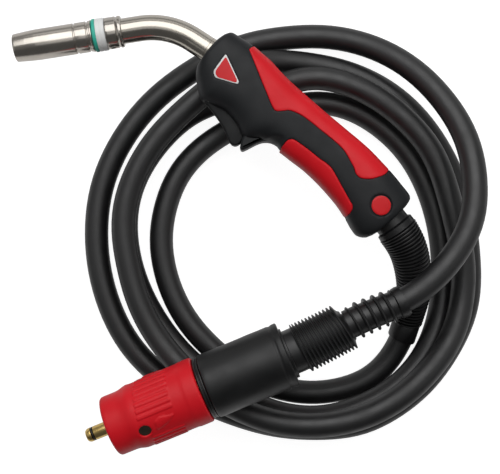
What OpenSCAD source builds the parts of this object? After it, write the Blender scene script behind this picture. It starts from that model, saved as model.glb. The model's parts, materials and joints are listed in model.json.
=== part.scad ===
// Gas-cooled MIG welding torch: gun, coaxial cable in four turns, and machine-end plug.
// Frame: origin at the centre of the gas nozzle's mouth with the sizes as given, +X and +Y lie
// in the plane of the resting coil, +Z points up. The coil stands on a surface at
// z = -gun_height. A longer neck or nozzle grows forwards, away from the handle.

/* [Resting place] */
// Height of the gun's middle plane above the surface that the coil lies on
gun_height = 57; // [56:1:70]
// Height of the plug's axis above the same surface
plug_height = 70; // [69:1:80]

/* [Cable] */
// Outer diameter of the coaxial cable
cable_d = 18; // [14:0.5:18]
// Room between the cable and the bore of its sleeves, per side
sleeve_gap = 0.9; // [0.6:0.1:1.2]

/* [Gas nozzle] */
// Outer diameter of the nozzle's body
nozzle_d = 22; // [20:0.5:24]
// Outer diameter of the nozzle at its mouth
nozzle_mouth_d = 20; // [18:0.5:21]
// Length of the nozzle
nozzle_len = 57; // [50:1:64]
// Length of the tapered front of the nozzle
nozzle_taper_len = 16; // [8:1:24]
// Wall of the nozzle
nozzle_wall = 2.5; // [2:0.25:3]
// Width of a turned groove
groove_w = 1.2; // [0.8:0.1:2]
// Depth of a turned groove
groove_depth = 0.6; // [0.3:0.1:1]
// Distance from the nozzle's rear end to its front groove
groove_front = 12.5; // [10:0.5:16]
// Distance from the nozzle's rear end to its rear groove
groove_rear = 3.2; // [2.6:0.2:6]

/* [Nozzle seat] */
// Outer diameter of the O-ring
o_ring_d = 23.8; // [22:0.2:25]
// Width of the O-ring along the axis
o_ring_w = 3; // [2:0.5:4]
// Outer diameter of the insulator ring
insulator_d = 23.6; // [22:0.2:25]
// Width of the insulator ring
insulator_w = 6.5; // [4:0.5:8]
// Outer diameter of the neck's collar
collar_d = 22.6; // [20:0.2:24]
// Length of the neck's collar
collar_len = 12; // [10:1:18]

/* [Contact tip] */
// Diameter of the contact tip
tip_d = 8; // [6:0.5:9]
// Length of the contact tip
tip_len = 25; // [20:1:28]
// Depth of the tip's end inside the nozzle's mouth
tip_recess = 6; // [5:0.5:8]
// Bore of the contact tip, for the welding wire
tip_bore = 1.2; // [0.8:0.1:1.6]
// Diameter of the gas diffuser
diffuser_d = 13.5; // [12:0.5:14.5]
// Number of gas holes in the diffuser
gas_holes = 6; // [4:1:8]
// Diameter of a gas hole
gas_hole_d = 2; // [1.5:0.25:2.5]

/* [Swan neck] */
// Outer diameter of the neck's tube
neck_d = 18.2; // [16:0.2:19]
// Wall of the neck's tube
neck_wall = 1.6; // [1:0.2:2]
// Diameter of the copper conductor inside the neck
conductor_d = 12; // [9:0.5:12.5]
// Outer diameter of the wire liner
liner_d = 4.4; // [3:0.2:5]
// Radius of the neck's bend at its centre line
bend_r = 55; // [48:1:62]
// Angle of the neck's bend
bend_angle = 42; // [34:1:50]
// Straight length between the collar and the bend
neck_front_len = 12.5; // [8:0.5:18]
// Straight length behind the bend
neck_rear_len = 31.3; // [28:0.1:38]

/* [Handle] */
// Half of the handle's thickness at its widest
handle_half = 19; // [17:0.5:19]
// Wall of the handle's shells
handle_wall = 3; // [2.5:0.25:3.5]
// Depth of the soft grip inserts
grip_depth = 1.6; // [1:0.1:2]
// Room round the trigger in its slot, per side
slot_gap = 0.5; // [0.4:0.1:0.8]
// Width of the cheeks of the finger guard
guard_cheek = 3; // [2:0.5:4]
// Diameter of a handle screw's head
screw_head_d = 6; // [5:0.5:7]
// Diameter of a handle screw's thread
screw_d = 3; // [2.5:0.25:3.5]
// Diameter of the posts that the handle screws hold together
post_d = 8; // [7.5:0.25:9]

/* [Trigger] */
// Width of the trigger
trigger_w = 12; // [10:0.5:14]
// Diameter of the trigger's hinge pin
trigger_pin_d = 3; // [2:0.5:3.5]
// Running gap round a moving pin, per side
run_gap = 0.25; // [0.15:0.05:0.4]

/* [Badges] */
// Diameter of the round badge
badge_d = 13.6; // [12:0.2:15]
// Thickness of a badge
badge_t = 1.2; // [0.8:0.1:1.6]

/* [Gun sleeve] */
// Thickness of the sleeve at its first rib
sleeve_wall = 5.1; // [4.5:0.1:6]
// Thickness of the sleeve at its last rib
sleeve_end_wall = 1.85; // [1.6:0.05:2.5]
// Number of ribs on the gun's sleeve
sleeve_ribs = 30; // [20:1:34]
// Depth of the grooves between the ribs
rib_depth = 1.4; // [1:0.1:1.5]

/* [Plug] */
// Outer diameter of the locking nut's grip
nut_d = 48; // [46:0.5:48.5]
// Outer diameter of the locking nut's front
nut_front_d = 43.2; // [42:0.2:45]
// Length of the locking nut
nut_len = 70; // [66:1:74]
// Length of the nut's front section
nut_front_len = 12; // [10:1:15]
// Length of the shoulder behind the front section
nut_shoulder_len = 9; // [6:1:11]
// Wall of the locking nut
nut_wall = 3; // [2.5:0.25:3.5]
// Number of grip ribs round the nut, in three groups
nut_ribs = 24; // [18:3:30]
// Diameter of a screw in the nut's side
nut_screw_d = 9; // [7:0.5:9]
// Height of a grip rib
rib_h = 0.6; // [0.4:0.1:0.8]
// Major diameter of the nut's thread ring bore
thread_d = 34; // [32:0.5:35]
// Diameter of the plug's housing
housing_d = 46.6; // [44:0.2:47]
// Length of the plug's housing
housing_len = 61; // [56:1:66]
// Wall of the housing
housing_wall = 2.6; // [2:0.2:3]
// Diameter of the centre pin
pin_d = 10; // [9:0.5:11]
// Length of the centre pin in front of the nut
pin_reach = 18; // [12:1:20]
// Diameter of a contact pin
contact_d = 3.8; // [3:0.2:4.2]
// Distance of a contact pin from the axis
contact_r = 11; // [10.5:0.25:12]
// Outer diameter of the wide rear sleeve's ribs
rear_sleeve_d = 37; // [34:0.5:38]
// Number of ribs on the wide rear sleeve
rear_ribs = 13; // [9:1:14]
// Thickness of the cable guide's rings at the plug
guide_wall = 2.6; // [2.2:0.1:3.6]
// Number of rings on the cable guide
guide_rings = 6; // [4:1:8]
// Diameter of the screw that holds the plug's housing
housing_screw_d = 4; // [3:0.5:5]

/* [Hidden] */
$fn = 64;
eps = 0.05;

// How far the trigger's pin reaches into each shell
pin_hold = 1.5;

// The gun's sleeve: its bore, its first and last rib, and its part in the handle's wall
sleeve_bore_r = cable_d / 2 + sleeve_gap;
sleeve_d = 2 * (sleeve_bore_r + sleeve_wall);
sleeve_end_d = 2 * (sleeve_bore_r + sleeve_end_wall);
sleeve_neck_d = sleeve_d - 5;

// The cable guide's tube and its rings
guide_r = sleeve_bore_r + 1.3;
guide_d = 2 * (sleeve_bore_r + guide_wall);

// Places along the nozzle's axis, from its mouth
seat_o_ring = nozzle_len;
seat_insulator = seat_o_ring + o_ring_w;
seat_collar = seat_insulator + insulator_w;
neck_start = seat_collar + collar_len;
bend_start = neck_start + neck_front_len;
bend_end = bend_start + bend_r * bend_angle * PI / 180;
neck_end = bend_end + neck_rear_len;
tip_rear = tip_recess + tip_len;
holder_len = 6;
nozzle_spring_len = 5;
liner_gap = 0.5;
seat_gap = 0.3;
fit_bore_d = conductor_d + 2 * run_gap;
liner_bore_d = liner_d + 2 * liner_gap;
nozzle_bore_d = nozzle_d - 2 * nozzle_wall;
neck_bore_d = neck_d - 2 * neck_wall;

// Where the neck ends in the handle, its fall from +X there, and the nozzle's rise that follows
neck_rear = [154.69, -11.01, 0];
neck_fall = 33;
neck_rise = bend_angle - neck_fall;

// Recesses for a pin spanner in the collar's sides
recess_d = 6;
recess_depth = 1.2;
recess_at = 4.5;

// The route's points are measured from the middle of the coil, on the surface that it lies on
layout_shift = [169.2, -136, -gun_height];

// Points that steer the cable's centre line, from inside the handle to inside the plug,
// measured from the middle of the coil and from the surface that it lies on
ROUTE = [
    [80, 36, 57], [87, 28, 57], [94, 20, 57], [101, 12, 57], [107, 4, 57], [115, -8, 53],
    [120, -24, 44], [123, -42, 32], [120, -59, 20], [117, -77, 13], [106, -97, 10],
    // first turn
    [89, -112, 9], [62, -120, 9], [35, -120, 9], [9, -113, 9], [-16, -98, 9], [-37, -79, 9],
    [-53, -59, 9], [-65, -32, 9], [-70, -2, 9], [-65, 27, 9], [-54, 52, 9], [-34, 72, 9],
    [-10, 86, 9], [17, 97, 9], [48, 105, 9], [75, 101, 9], [100, 87, 9], [122, 66, 9],
    [137, 39, 9], [146, 9, 9], [149, -19, 9], [148, -46, 10], [144, -65, 13],
    // second turn
    [136, -84, 19], [123, -102, 25], [103, -119, 27], [77, -131, 28], [51, -137, 28],
    [22, -134, 27], [-3, -124, 24], [-26, -110, 20], [-46, -96, 14], [-65, -76, 9],
    [-82, -49, 9], [-93, -20, 9], [-97, 12, 9], [-91, 42, 9], [-74, 70, 9], [-52, 92, 9],
    [-32, 102, 9], [-12, 107, 14], [6, 110, 20], [25, 115, 25], [46, 121, 28], [71, 117, 28],
    [98, 104, 28], [121, 85, 28], [139, 63, 28], [149, 33, 28], [156, 5, 28], [161, -19, 28],
    [160, -44, 28], [155, -66, 31],
    // third turn
    [144, -85, 38], [126, -105, 44], [106, -121, 47], [80, -134, 47], [49, -139, 47],
    [20, -137, 46], [-4, -129, 43], [-27, -118, 38], [-47, -102, 33], [-69, -78, 28],
    [-84, -51, 28], [-92, -21, 28], [-97, 11, 28], [-90, 42, 28], [-73, 72, 28], [-51, 94, 28],
    [-33, 109, 29], [-15, 123, 29], [3, 132, 22], [23, 135, 13], [48, 133, 9], [73, 128, 9],
    [99, 117, 9], [122, 100, 9], [141, 77, 9], [156, 49, 9], [164, 23, 9], [168, -6, 9],
    [170, -38, 9], [165, -64, 9],
    // fourth turn, which rises to the plug
    [151, -91, 9], [133, -115, 9], [108, -134, 9], [82, -146, 9], [50, -148, 9], [19, -146, 9],
    [-12, -137, 9], [-43, -124, 9], [-72, -106, 9], [-94, -83, 9], [-109, -54, 9],
    [-118, -20, 9], [-119, 17, 9], [-112, 50, 9], [-95, 82, 9], [-72, 109, 9], [-41, 131, 9],
    [-8, 148, 9], [27, 154, 9], [62, 155, 11], [96, 145, 18], [124, 126, 29], [145, 100, 40],
    [159, 72, 50], [163, 41, 58], [160, 13, 64], [148, -10, 68], [130, -31, 70],
    // into the plug
    [109, -46, 70], [89, -53, 70], [69, -62, 70], [49, -72.5, 70], [29, -81.5, 70],
    [10, -89.5, 70], [-9, -97, 70]
];

// Places on the route, counted in its points
u_ferrule = 1.1;
u_handle = 3;
u_sleeve_end = 9;
u_guide_end = len(ROUTE) - 7;
u_rear_sleeve = len(ROUTE) - 5;
u_housing = len(ROUTE) - 3;
u_cable_end = len(ROUTE) - 2.4;

// The plug: its nut's front, its turn from +X, and places along its axis
plug_front = [70.7, -270, plug_height - gun_height];
plug_turn = 22.3;
ring_w = 4;
ring_seat = nut_len + seat_gap;
housing_seat = ring_seat + ring_w;
housing_end = housing_seat + housing_len;
insulator_seat = 8;
disc_t = 10;
disc_d = 31;
body_seat = insulator_seat + disc_t;
body_rear_d = 16;
flange_t = 6;
carrier_t = 3;
housing_rear_len = 24;
housing_screw_at = 10;
rear_fit = 0.3;
pin_bore_d = pin_d / 2;
pin_root_d = pin_d - 1;
pin_land = 4;
pin_ring_d = 1.2;
pin_groove_w = 1.8;
contact_reach = 6;
contact_hold = 2;
thread_seat = 3;
nut_bore_d = nut_front_d - 2 * nut_wall;
run_fit = 0.1;
lip_seat = nut_len - 18;
lip_w = 4;
lip_d = nut_bore_d - 4;
crimp_seat = housing_end - 28;
nut_screw_z = nut_front_len + nut_shoulder_len + 4;
nut_screw_len = 3;
nut_band_len = 10;
nut_rib_w = 2.6;
nut_rib_len = 28;
nut_rib_seat = 3;

// The nut's screws stand a third of a turn apart; angles from each to the ribs beside it
nut_screw_turn = 84;
nut_first_rib = 26;
nut_last_rib = 100;

// Handle: pairs of edge points, finger side and back, with the share of the half thickness
STATIONS = [
    [134.6, -7.7, 149.7, 8.5, 0.78], [131.7, -12.8, 155.5, 10.7, 0.9],
    [130.3, -20.7, 164.1, 6, 0.97], [131.7, -29.3, 172.1, 0.6, 1],
    [133.9, -37.3, 179.3, -5.6, 1], [140.3, -40.9, 185, -10.6, 1],
    [151.2, -46.6, 191.5, -17.8, 1], [159.1, -55.3, 198, -24.3, 0.99],
    [164.8, -65.4, 205.2, -30.8, 0.97], [177.8, -67.5, 213.9, -38.4, 0.95],
    [190.1, -74.7, 222.5, -45.9, 0.94], [198.7, -81.2, 231.2, -53.1, 0.94],
    [208.1, -88.4, 239.8, -60.3, 0.94], [216.7, -96.4, 248.5, -67.5, 0.95],
    [224.7, -105, 256.4, -74.7, 0.96], [231.9, -113.7, 264.3, -83, 0.98],
    [237.6, -122.3, 270.8, -89.9, 1], [242, -130.2, 277.3, -97.8, 1],
    [246.3, -135.3, 283.8, -106.5, 0.97], [252.8, -136.4, 282.3, -111.5, 0.92],
    [259.3, -133.1, 280.2, -113.7, 0.84]
];
ARCH = 12;
ARCH_POWER = 0.72;

// Further from the middle plane than any piece of the handle
past = 30;

// Outlines in the gun's plane
GRIP_BACK_EDGE = [
    [168.4, -2.6], [176.4, -24.1], [184.8, -44.5], [187.4, -47.6], [197.4, -47.2], [205.2, -50.5],
    [218.5, -60.5], [230.6, -70.4], [238, -79.7], [242.1, -87.4], [246.1, -94.3], [255.2, -95.1],
    [264.3, -91.9], [271.7, -85], [277.2, -61], [207.2, -1], [175.2, 13]
];
GRIP_FRONT_EDGE = [
    [187.2, -76.5], [191.2, -76], [195.7, -67.5], [200.6, -67.7], [218.7, -81.1], [227.1, -88.2],
    [232.7, -98.1], [240, -111.3], [241.6, -116], [237.6, -122.8], [232.2, -136], [187.2, -96]
];
GUARD_EDGE = [
    [165.6, -63], [162, -71.4], [162.4, -73.4], [164.7, -73.9], [173.7, -69.8], [179.2, -67.6],
    [185.2, -67], [187.2, -59], [173.2, -57]
];
SLOT_EDGE = [
    [125.2, -37.5], [140.2, -34.8], [150.2, -37], [160.2, -43], [168.2, -53], [171.7, -63.5],
    [167.7, -69.5], [157.2, -81], [125.2, -61]
];
TRIGGER_EDGE = [
    [135.8, -39.2], [140.4, -44.5], [148.3, -54.6], [152.6, -61.8], [155.5, -69], [158.4, -70.4],
    [161.2, -69.2], [163.4, -66.8], [164.8, -62.8], [161.4, -53.8], [155.6, -45.9], [149, -40.6],
    [142.7, -37.2], [137.7, -36.6]
];
trigger_hinge = [140.2, -38.4];
plunger_foot = [154.1, -42.6];
plunger_dir = 60;
plunger_d = 2.6;
plunger_len = 3;
switch_size = [20, 10.5, 6.4];
switch_rib_w = 8;
terminal_len = 5;
terminal_w = 3;
terminal_t = 0.6;
terminal_pitch = 7;
spring_foot = [163.8, -57.7];
spring_dir = 45;
spring_len = 8;
spring_d = 5;
spring_wire = 0.8;
wire_d = 1.6;
BADGE_CORNERS = [[152.3, -7], [143.1, -19.7], [144.5, -24.3], [160.8, -29.1], [161.7, -27.3]];
badge_round_at = [261.3, -113.9];

// Screw posts: the first one also backs the trigger's spring
spring_post = spring_foot + (spring_len + post_d / 2) * [cos(spring_dir), sin(spring_dir)];
SCREWS = [spring_post, [162.6, 1.2], [267.2, -99.5]];
screw_head_z = 12;
screw_head_t = 3;
screw_tip_z = 9;
screw_room = 0.4;
pin_boss_d = 2 * trigger_pin_d + 1;
link_d = 12;
clamp_d = 15;
clamp_len = 16;
clamp_gap = 6;

// Wires run past the crimp link, one above and one below it
wire_side = link_d / 2 + 1.5;

// ---- helpers ----

// Point at place u of the smooth curve that the route's points steer
function route_at(u) =
    let (i = min(floor(u), len(ROUTE) - 3), t = u - i,
         a = ROUTE[i - 1], b = ROUTE[i], c = ROUTE[i + 1], d = ROUTE[i + 2])
    layout_shift + (pow(1 - t, 3) * a + (3 * t * t * t - 6 * t * t + 4) * b
        + (-3 * t * t * t + 3 * t * t + 3 * t + 1) * c + t * t * t * d) / 6;
function unit(v) = v / norm(v);
function heading(u) = unit(route_at(u + 0.02) - route_at(u - 0.02));

// A ring of n points round the route at u; its first point looks up
function ring_at(u, r, n) =
    let (p = route_at(u), h = heading(u), side = unit(cross(h, [0, 0, 1])), up = cross(side, h))
    [for (k = [0 : n - 1]) p + r * (cos(360 * (k + 0.5) / n) * up + sin(360 * (k + 0.5) / n) * side)];

// Closed tube through rings that hold n points each
module skin(rings, n) {
    count = len(rings);
    points = [for (ring = rings) each ring];
    walls = [
        for (i = [0 : count - 2], k = [0 : n - 1])
            let (a = i * n + k, b = (i + 1) * n + k, c = (i + 1) * n + (k + 1) % n, d = i * n + (k + 1) % n)
            each [[a, b, c], [a, c, d]]
    ];
    start = [[for (k = [0 : n - 1]) k]];
    end = [[for (k = [n - 1 : -1 : 0]) (count - 1) * n + k]];
    polyhedron(points, concat(walls, start, end), convexity = 10);
}

// Tube along the route from places and radii [u, r]
module route_tube(steps, n) {
    skin([for (s = steps) ring_at(s[0], s[1], n)], n);
}

// Distance from the plug's front to a point, along its axis
function along_plug(p) = (p - plug_front) * [cos(plug_turn), sin(plug_turn), 0];

// A ribbed sleeve's steps: ribs between the places u0 and u1, tapering from r0 to r1
function ribs(u0, u1, count, r0, r1, depth) = [
    for (i = [0 : count - 1], part = [[0.1, 1], [0.5, 0]])
        let (f = (i + part[0]) / count)
        [u0 + f * (u1 - u0), r0 + f * (r1 - r0) - part[1] * depth]
];

module on_nozzle() {
    translate(front_shift) rotate([0, 0, neck_rise]) rotate([0, 90, 0]) children();
}

module on_plug() {
    translate(plug_front) rotate([0, 0, plug_turn]) rotate([0, 90, 0]) children();
}

// Place and heading on the neck's centre line at the distance s from the nozzle's mouth
function neck_turn(s) = min(max((s - bend_start) / bend_r * 180 / PI, 0), bend_angle);
function neck_from_mouth(s) =
    let (w = neck_turn(s), rest = max(s - bend_end, 0),
         x = min(s, bend_start) + bend_r * sin(w) + rest * cos(bend_angle),
         y = -bend_r * (1 - cos(w)) - rest * sin(bend_angle))
    [x * cos(neck_rise) - y * sin(neck_rise), x * sin(neck_rise) + y * cos(neck_rise), 0];
front_shift = neck_rear - neck_from_mouth(neck_end);
function neck_at(s) = neck_from_mouth(s) + front_shift;

// Round bar or hole along the neck's centre line, between two distances from the mouth
module neck_run(d, from, to, n) {
    bend_steps = [for (i = [0 : 10]) bend_start + (bend_end - bend_start) * i / 10];
    steps = concat([from], [for (s = bend_steps) if (s > from && s < to) s], [to]);
    skin([
        for (s = steps)
            let (p = neck_at(s), w = neck_rise - neck_turn(s), side = [sin(w), -cos(w), 0])
            [for (k = [0 : n - 1])
                p + d / 2 * (cos(360 * k / n) * [0, 0, 1] + sin(360 * k / n) * side)]
    ], n);
}

module at_neck_rear(offset) {
    translate(neck_at(neck_end + offset))
        rotate([0, 0, neck_rise - bend_angle]) rotate([0, 90, 0]) children();
}

// Round bar from point p to point q
module bar(p, q, d) {
    v = q - p;
    translate(p) rotate([0, acos(v[2] / norm(v)), atan2(v[1], v[0])]) cylinder(h = norm(v), d = d);
}

module tube(h, d, bore) {
    difference() {
        cylinder(h = h, d = d);
        translate([0, 0, -1]) cylinder(h = h + 2, d = bore);
    }
}

module wire_spring(d, wire, turns, h) {
    sides = 5;
    per_turn = 9;
    skin([
        for (i = [0 : turns * per_turn])
            let (a = 360 * i / per_turn, z = wire / 2 + (h - wire) * i / (turns * per_turn))
            [for (k = [0 : sides - 1])
                let (w = 360 * k / sides, r = d / 2 - wire / 2 * (1 - cos(w)))
                [r * cos(a), r * sin(a), z - wire / 2 * sin(w)]]
    ], sides);
}

// ---- handle ----

// Upper half of the handle's outer form, drawn in by inset; side is 1 or -1
function arch(s, inset) =
    let (belly = [s[0], s[1]], back = [s[2], s[3]], across = unit(back - belly),
         mid = (belly + back) / 2, half = norm(back - belly) / 2 - inset,
         h = handle_half * s[4] - inset)
    [for (k = [0 : ARCH])
        let (a = 180 * k / ARCH, c = cos(a), v = sign(c) * pow(abs(c), ARCH_POWER) * half)
        [mid[0] + across[0] * v, mid[1] + across[1] * v, h * pow(max(sin(a), 0), ARCH_POWER)]];

module half_form(inset, side, first = 0, last = len(STATIONS) - 1) {
    n = ARCH + 1;
    mirror([0, 0, side > 0 ? 0 : 1])
        skin([for (i = [first : last]) arch(STATIONS[i], inset)], n);
}

module plate(edge, low, high) {
    translate([0, 0, low]) linear_extrude(height = high - low) polygon(edge);
}

// Layer of the handle's form, from its surface down to depth, inside the children's outline
module inlay(depth, side, first, last) {
    intersection() {
        children();
        difference() {
            half_form(0, side, first, last);
            half_form(depth, side, first, last);
        }
    }
}

module grip(edge, side, first, last) {
    color("crimson") inlay(grip_depth, side, first, last)
        plate(edge, min(0, side * past), max(0, side * past));
}

// Pockets in a shell for inlays of the same outlines
module pockets(depth, side) {
    difference() {
        intersection() {
            union() children();
            translate([-100, -300, side > 0 ? -1 : 1 - past]) cube([500, 500, past]);
        }
        half_form(depth, side);
    }
}

module guard(side) {
    reach = trigger_w / 2 + slot_gap + guard_cheek;
    plate(GUARD_EDGE, min(0, side * reach), max(0, side * reach));
}

module badge_disc() {
    translate([badge_round_at[0], badge_round_at[1], 0]) cylinder(h = past, d = badge_d);
}

// Posts in a shell: round ones for the screws, two bosses for the trigger's pin, a rib for the switch
module posts(side) {
    slot = trigger_w / 2 + slot_gap;
    intersection() {
        union() {
            for (at = SCREWS) translate([at[0], at[1], -past]) cylinder(h = 2 * past, d = post_d);
            for (low = [-past, slot]) translate([trigger_hinge[0], trigger_hinge[1], low])
                cylinder(h = past - slot, d = pin_boss_d);
            for (x = [-past, switch_size[2] / 2]) at_plunger()
                translate([x, -switch_rib_w / 2, plunger_len + 1.5])
                    cube([past - switch_size[2] / 2, switch_rib_w, switch_size[1] - 3]);
        }
        half_form(handle_wall / 2, side);
    }
}

module handle_shell(side) {
    slot = trigger_w / 2 + slot_gap;
    neck_hole = sleeve_neck_d / 2 + run_fit;
    color([0.13, 0.13, 0.14]) difference() {
        union() {
            difference() {
                union() {
                    half_form(0, side);
                    guard(side);
                }
                half_form(handle_wall, side, 1, len(STATIONS) - 2);
                plate(SLOT_EDGE, -slot, slot);
            }
            posts(side);
        }
        pockets(grip_depth, side) {
            plate(GRIP_BACK_EDGE, -past, past);
            plate(GRIP_FRONT_EDGE, -past, past);
        }
        if (side > 0) pockets(badge_t, side) {
            plate(BADGE_CORNERS, 0, past);
            badge_disc();
        }
        translate([trigger_hinge[0], trigger_hinge[1], -slot - pin_hold])
            cylinder(h = 2 * (slot + pin_hold), d = trigger_pin_d);
        for (at = SCREWS) translate([at[0], at[1], 0]) {
            translate([0, 0, -screw_head_z - 1]) cylinder(h = screw_head_z + 1, d = screw_d + screw_room);
            translate([0, 0, -eps]) cylinder(h = screw_tip_z + 1, d = screw_d);
            translate([0, 0, -past]) cylinder(h = past - screw_head_z, d = screw_head_d + screw_room);
        }
        neck_run(neck_d, bend_start, neck_end, 20);
        route_tube([[u_handle - 1.9, neck_hole], [u_handle + 0.5, neck_hole]], 18);
    }
}

// ---- gun front ----

module gas_nozzle() {
    r = nozzle_d / 2;
    m = nozzle_mouth_d / 2;
    b = nozzle_bore_d / 2;
    g1 = nozzle_len - groove_front;
    g2 = nozzle_len - groove_rear;
    color("silver") on_nozzle() rotate_extrude() polygon([
        [b, 0.8], [m - 0.8, 0], [m - 0.2, 0.3], [m, 0.9], [r, nozzle_taper_len],
        [r, g1 - groove_w / 2], [r - groove_depth, g1 - groove_w / 4],
        [r - groove_depth, g1 + groove_w / 4], [r, g1 + groove_w / 2],
        [r, g2 - groove_w / 2], [r - groove_depth, g2 - groove_w / 4],
        [r - groove_depth, g2 + groove_w / 4], [r, g2 + groove_w / 2],
        [r + 0.3, nozzle_len - 1.2], [r + 0.3, nozzle_len - 0.4], [r, nozzle_len], [b, nozzle_len]
    ]);
}

module nozzle_o_ring() {
    color("mediumseagreen") on_nozzle() translate([0, 0, seat_o_ring + seat_gap])
        tube(o_ring_w - seat_gap, o_ring_d, fit_bore_d);
}

module insulator_ring() {
    color("white") on_nozzle() translate([0, 0, seat_insulator])
        tube(insulator_w, insulator_d, fit_bore_d);
}

module neck_collar() {
    r = collar_d / 2;
    color("silver") on_nozzle() difference() {
        translate([0, 0, seat_collar]) rotate_extrude() polygon([
            [neck_bore_d / 2, 0], [r - 0.5, 0], [r, 0.5], [r, collar_len - 4], [r - 0.7, collar_len - 3.4],
            [r, collar_len - 2.8], [r, collar_len - 0.8], [r - 1, collar_len], [neck_bore_d / 2, collar_len]
        ]);
        for (turn = [90, 270]) rotate([0, 0, turn])
            translate([r, 0, seat_collar + recess_at]) rotate([0, 90, 0])
                cylinder(h = 2 * recess_depth, d = recess_d, center = true);
    }
}

module neck_tube() {
    color("silver") difference() {
        neck_run(neck_d, neck_start, neck_end, 20);
        neck_run(neck_bore_d, neck_start - 1, neck_end + 1, 16);
    }
}

module neck_conductor() {
    color("peru") difference() {
        neck_run(conductor_d, seat_o_ring, neck_end + clamp_gap, 16);
        neck_run(liner_bore_d, seat_o_ring - 1, neck_end + clamp_gap + 1, 12);
    }
}

module contact_tip() {
    color("peru") on_nozzle() difference() {
        translate([0, 0, tip_recess]) union() {
            cylinder(h = 1.5, d1 = tip_d - 2.4, d2 = tip_d);
            translate([0, 0, 1.5]) cylinder(h = tip_len - 1.5, d = tip_d);
        }
        cylinder(h = tip_rear + 2, d = tip_bore);
    }
}

module gas_diffuser() {
    len_d = seat_o_ring - tip_rear - holder_len;
    color("burlywood") on_nozzle() translate([0, 0, tip_rear]) difference() {
        cylinder(h = len_d, d = diffuser_d);
        translate([0, 0, -1]) cylinder(h = len_d + 2, d = liner_bore_d);
        for (i = [0 : gas_holes - 1]) rotate([0, 0, 360 * (i + 0.5) / gas_holes])
            translate([0, 0, len_d / 2]) rotate([0, 90, 0]) cylinder(h = diffuser_d, d = gas_hole_d);
    }
}

module tip_holder() {
    color("goldenrod") on_nozzle() translate([0, 0, seat_o_ring - holder_len])
        tube(holder_len, conductor_d, liner_bore_d);
}

module nozzle_spring() {
    color("gray") on_nozzle() translate([0, 0, seat_o_ring - nozzle_spring_len - 0.5])
        wire_spring(nozzle_bore_d - 0.8, 1.2, 3, nozzle_spring_len);
}

module wire_liner() {
    color("dimgray") difference() {
        neck_run(liner_d, tip_rear + seat_gap, neck_end + clamp_gap + clamp_len, 10);
        neck_run(liner_d / 2, tip_rear - 1, neck_end + clamp_gap + clamp_len + 1, 6);
    }
}

// ---- handle parts ----

module handle_shell_left() { handle_shell(1); }
module handle_shell_right() { handle_shell(-1); }
module grip_back_left() { grip(GRIP_BACK_EDGE, 1, 1, 18); }
module grip_back_right() { grip(GRIP_BACK_EDGE, -1, 1, 18); }
module grip_front_left() { grip(GRIP_FRONT_EDGE, 1, 8, 18); }
module grip_front_right() { grip(GRIP_FRONT_EDGE, -1, 8, 18); }

module trigger() {
    color([0.16, 0.16, 0.17]) difference() {
        plate(TRIGGER_EDGE, -trigger_w / 2, trigger_w / 2);
        translate([trigger_hinge[0], trigger_hinge[1], 0])
            cylinder(h = trigger_w + 2, d = trigger_pin_d + 2 * run_gap, center = true);
    }
}

module trigger_pin() {
    color("silver") translate([trigger_hinge[0], trigger_hinge[1], 0])
        cylinder(h = trigger_w + 2 * slot_gap + 2 * pin_hold, d = trigger_pin_d, center = true);
}

module at_plunger() {
    translate([plunger_foot[0], plunger_foot[1], 0]) rotate([0, 0, plunger_dir])
        rotate([0, 90, 0]) children();
}

module switch_plunger() {
    color("red") at_plunger() {
        sphere(d = plunger_d);
        cylinder(h = plunger_len + 2, d = plunger_d);
    }
}

module microswitch() {
    color("black") at_plunger() translate([0, 0, plunger_len]) difference() {
        translate([-switch_size[2] / 2, -switch_size[0] / 2, 0])
            cube([switch_size[2], switch_size[0], switch_size[1]]);
        translate([0, 0, -1]) cylinder(h = 5, d = plunger_d + 2 * run_gap);
    }
}

module switch_terminals() {
    color("gold") at_plunger() translate([0, 0, plunger_len + switch_size[1]])
        for (i = [-1 : 1]) translate([-terminal_w / 2, i * terminal_pitch - terminal_t / 2, 0])
            cube([terminal_w, terminal_t, terminal_len]);
}

// Two control wires, from the switch's terminals to the cable's end
module trigger_wires() {
    top = plunger_len + switch_size[1] + terminal_len;
    along = [cos(plunger_dir), sin(plunger_dir)];
    cable_start = route_at(u_ferrule + 0.2);
    color("steelblue") for (s = [-1, 1]) {
        from = concat(plunger_foot + top * along + s * terminal_pitch * [along[1], -along[0]], 0);
        bend = from + [6, -6, s * wire_side];
        to = cable_start + [0, 0, s * wire_side];
        way = unit(to - from);
        flat = unit(cross(way, [0, 0, 1]));
        skin([for (p = [from, bend, to]) [for (k = [0 : 7])
            p + wire_d / 2 * (cos(45 * k) * cross(flat, way) + sin(45 * k) * flat)]], 8);
    }
}

module trigger_spring() {
    color("gray") translate([spring_foot[0], spring_foot[1], 0]) rotate([0, 0, spring_dir])
        rotate([0, 90, 0]) wire_spring(spring_d, spring_wire, 4, spring_len);
}

module badge_corner() {
    color("white") inlay(badge_t, 1, 0, 6) plate(BADGE_CORNERS, 0, past);
}

module badge_round() {
    color("crimson") inlay(badge_t, 1, 14, 20) badge_disc();
}

module handle_screws() {
    color("dimgray") for (at = SCREWS) translate([at[0], at[1], -screw_head_z]) {
        translate([0, 0, -screw_head_t]) cylinder(h = screw_head_t, d = screw_head_d);
        cylinder(h = screw_head_z + screw_tip_z, d = screw_d);
    }
}

module neck_clamp() {
    color("goldenrod") at_neck_rear(clamp_gap) tube(clamp_len, clamp_d, liner_bore_d);
}

// Bar that joins the neck's clamp to the cable
module crimp_link() {
    start = neck_at(neck_end + clamp_gap + clamp_len);
    color("peru") difference() {
        bar(start, route_at(u_ferrule + 0.2), link_d);
        at_neck_rear(clamp_gap) cylinder(h = clamp_len, d = 2 * clamp_d);
    }
}

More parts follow.
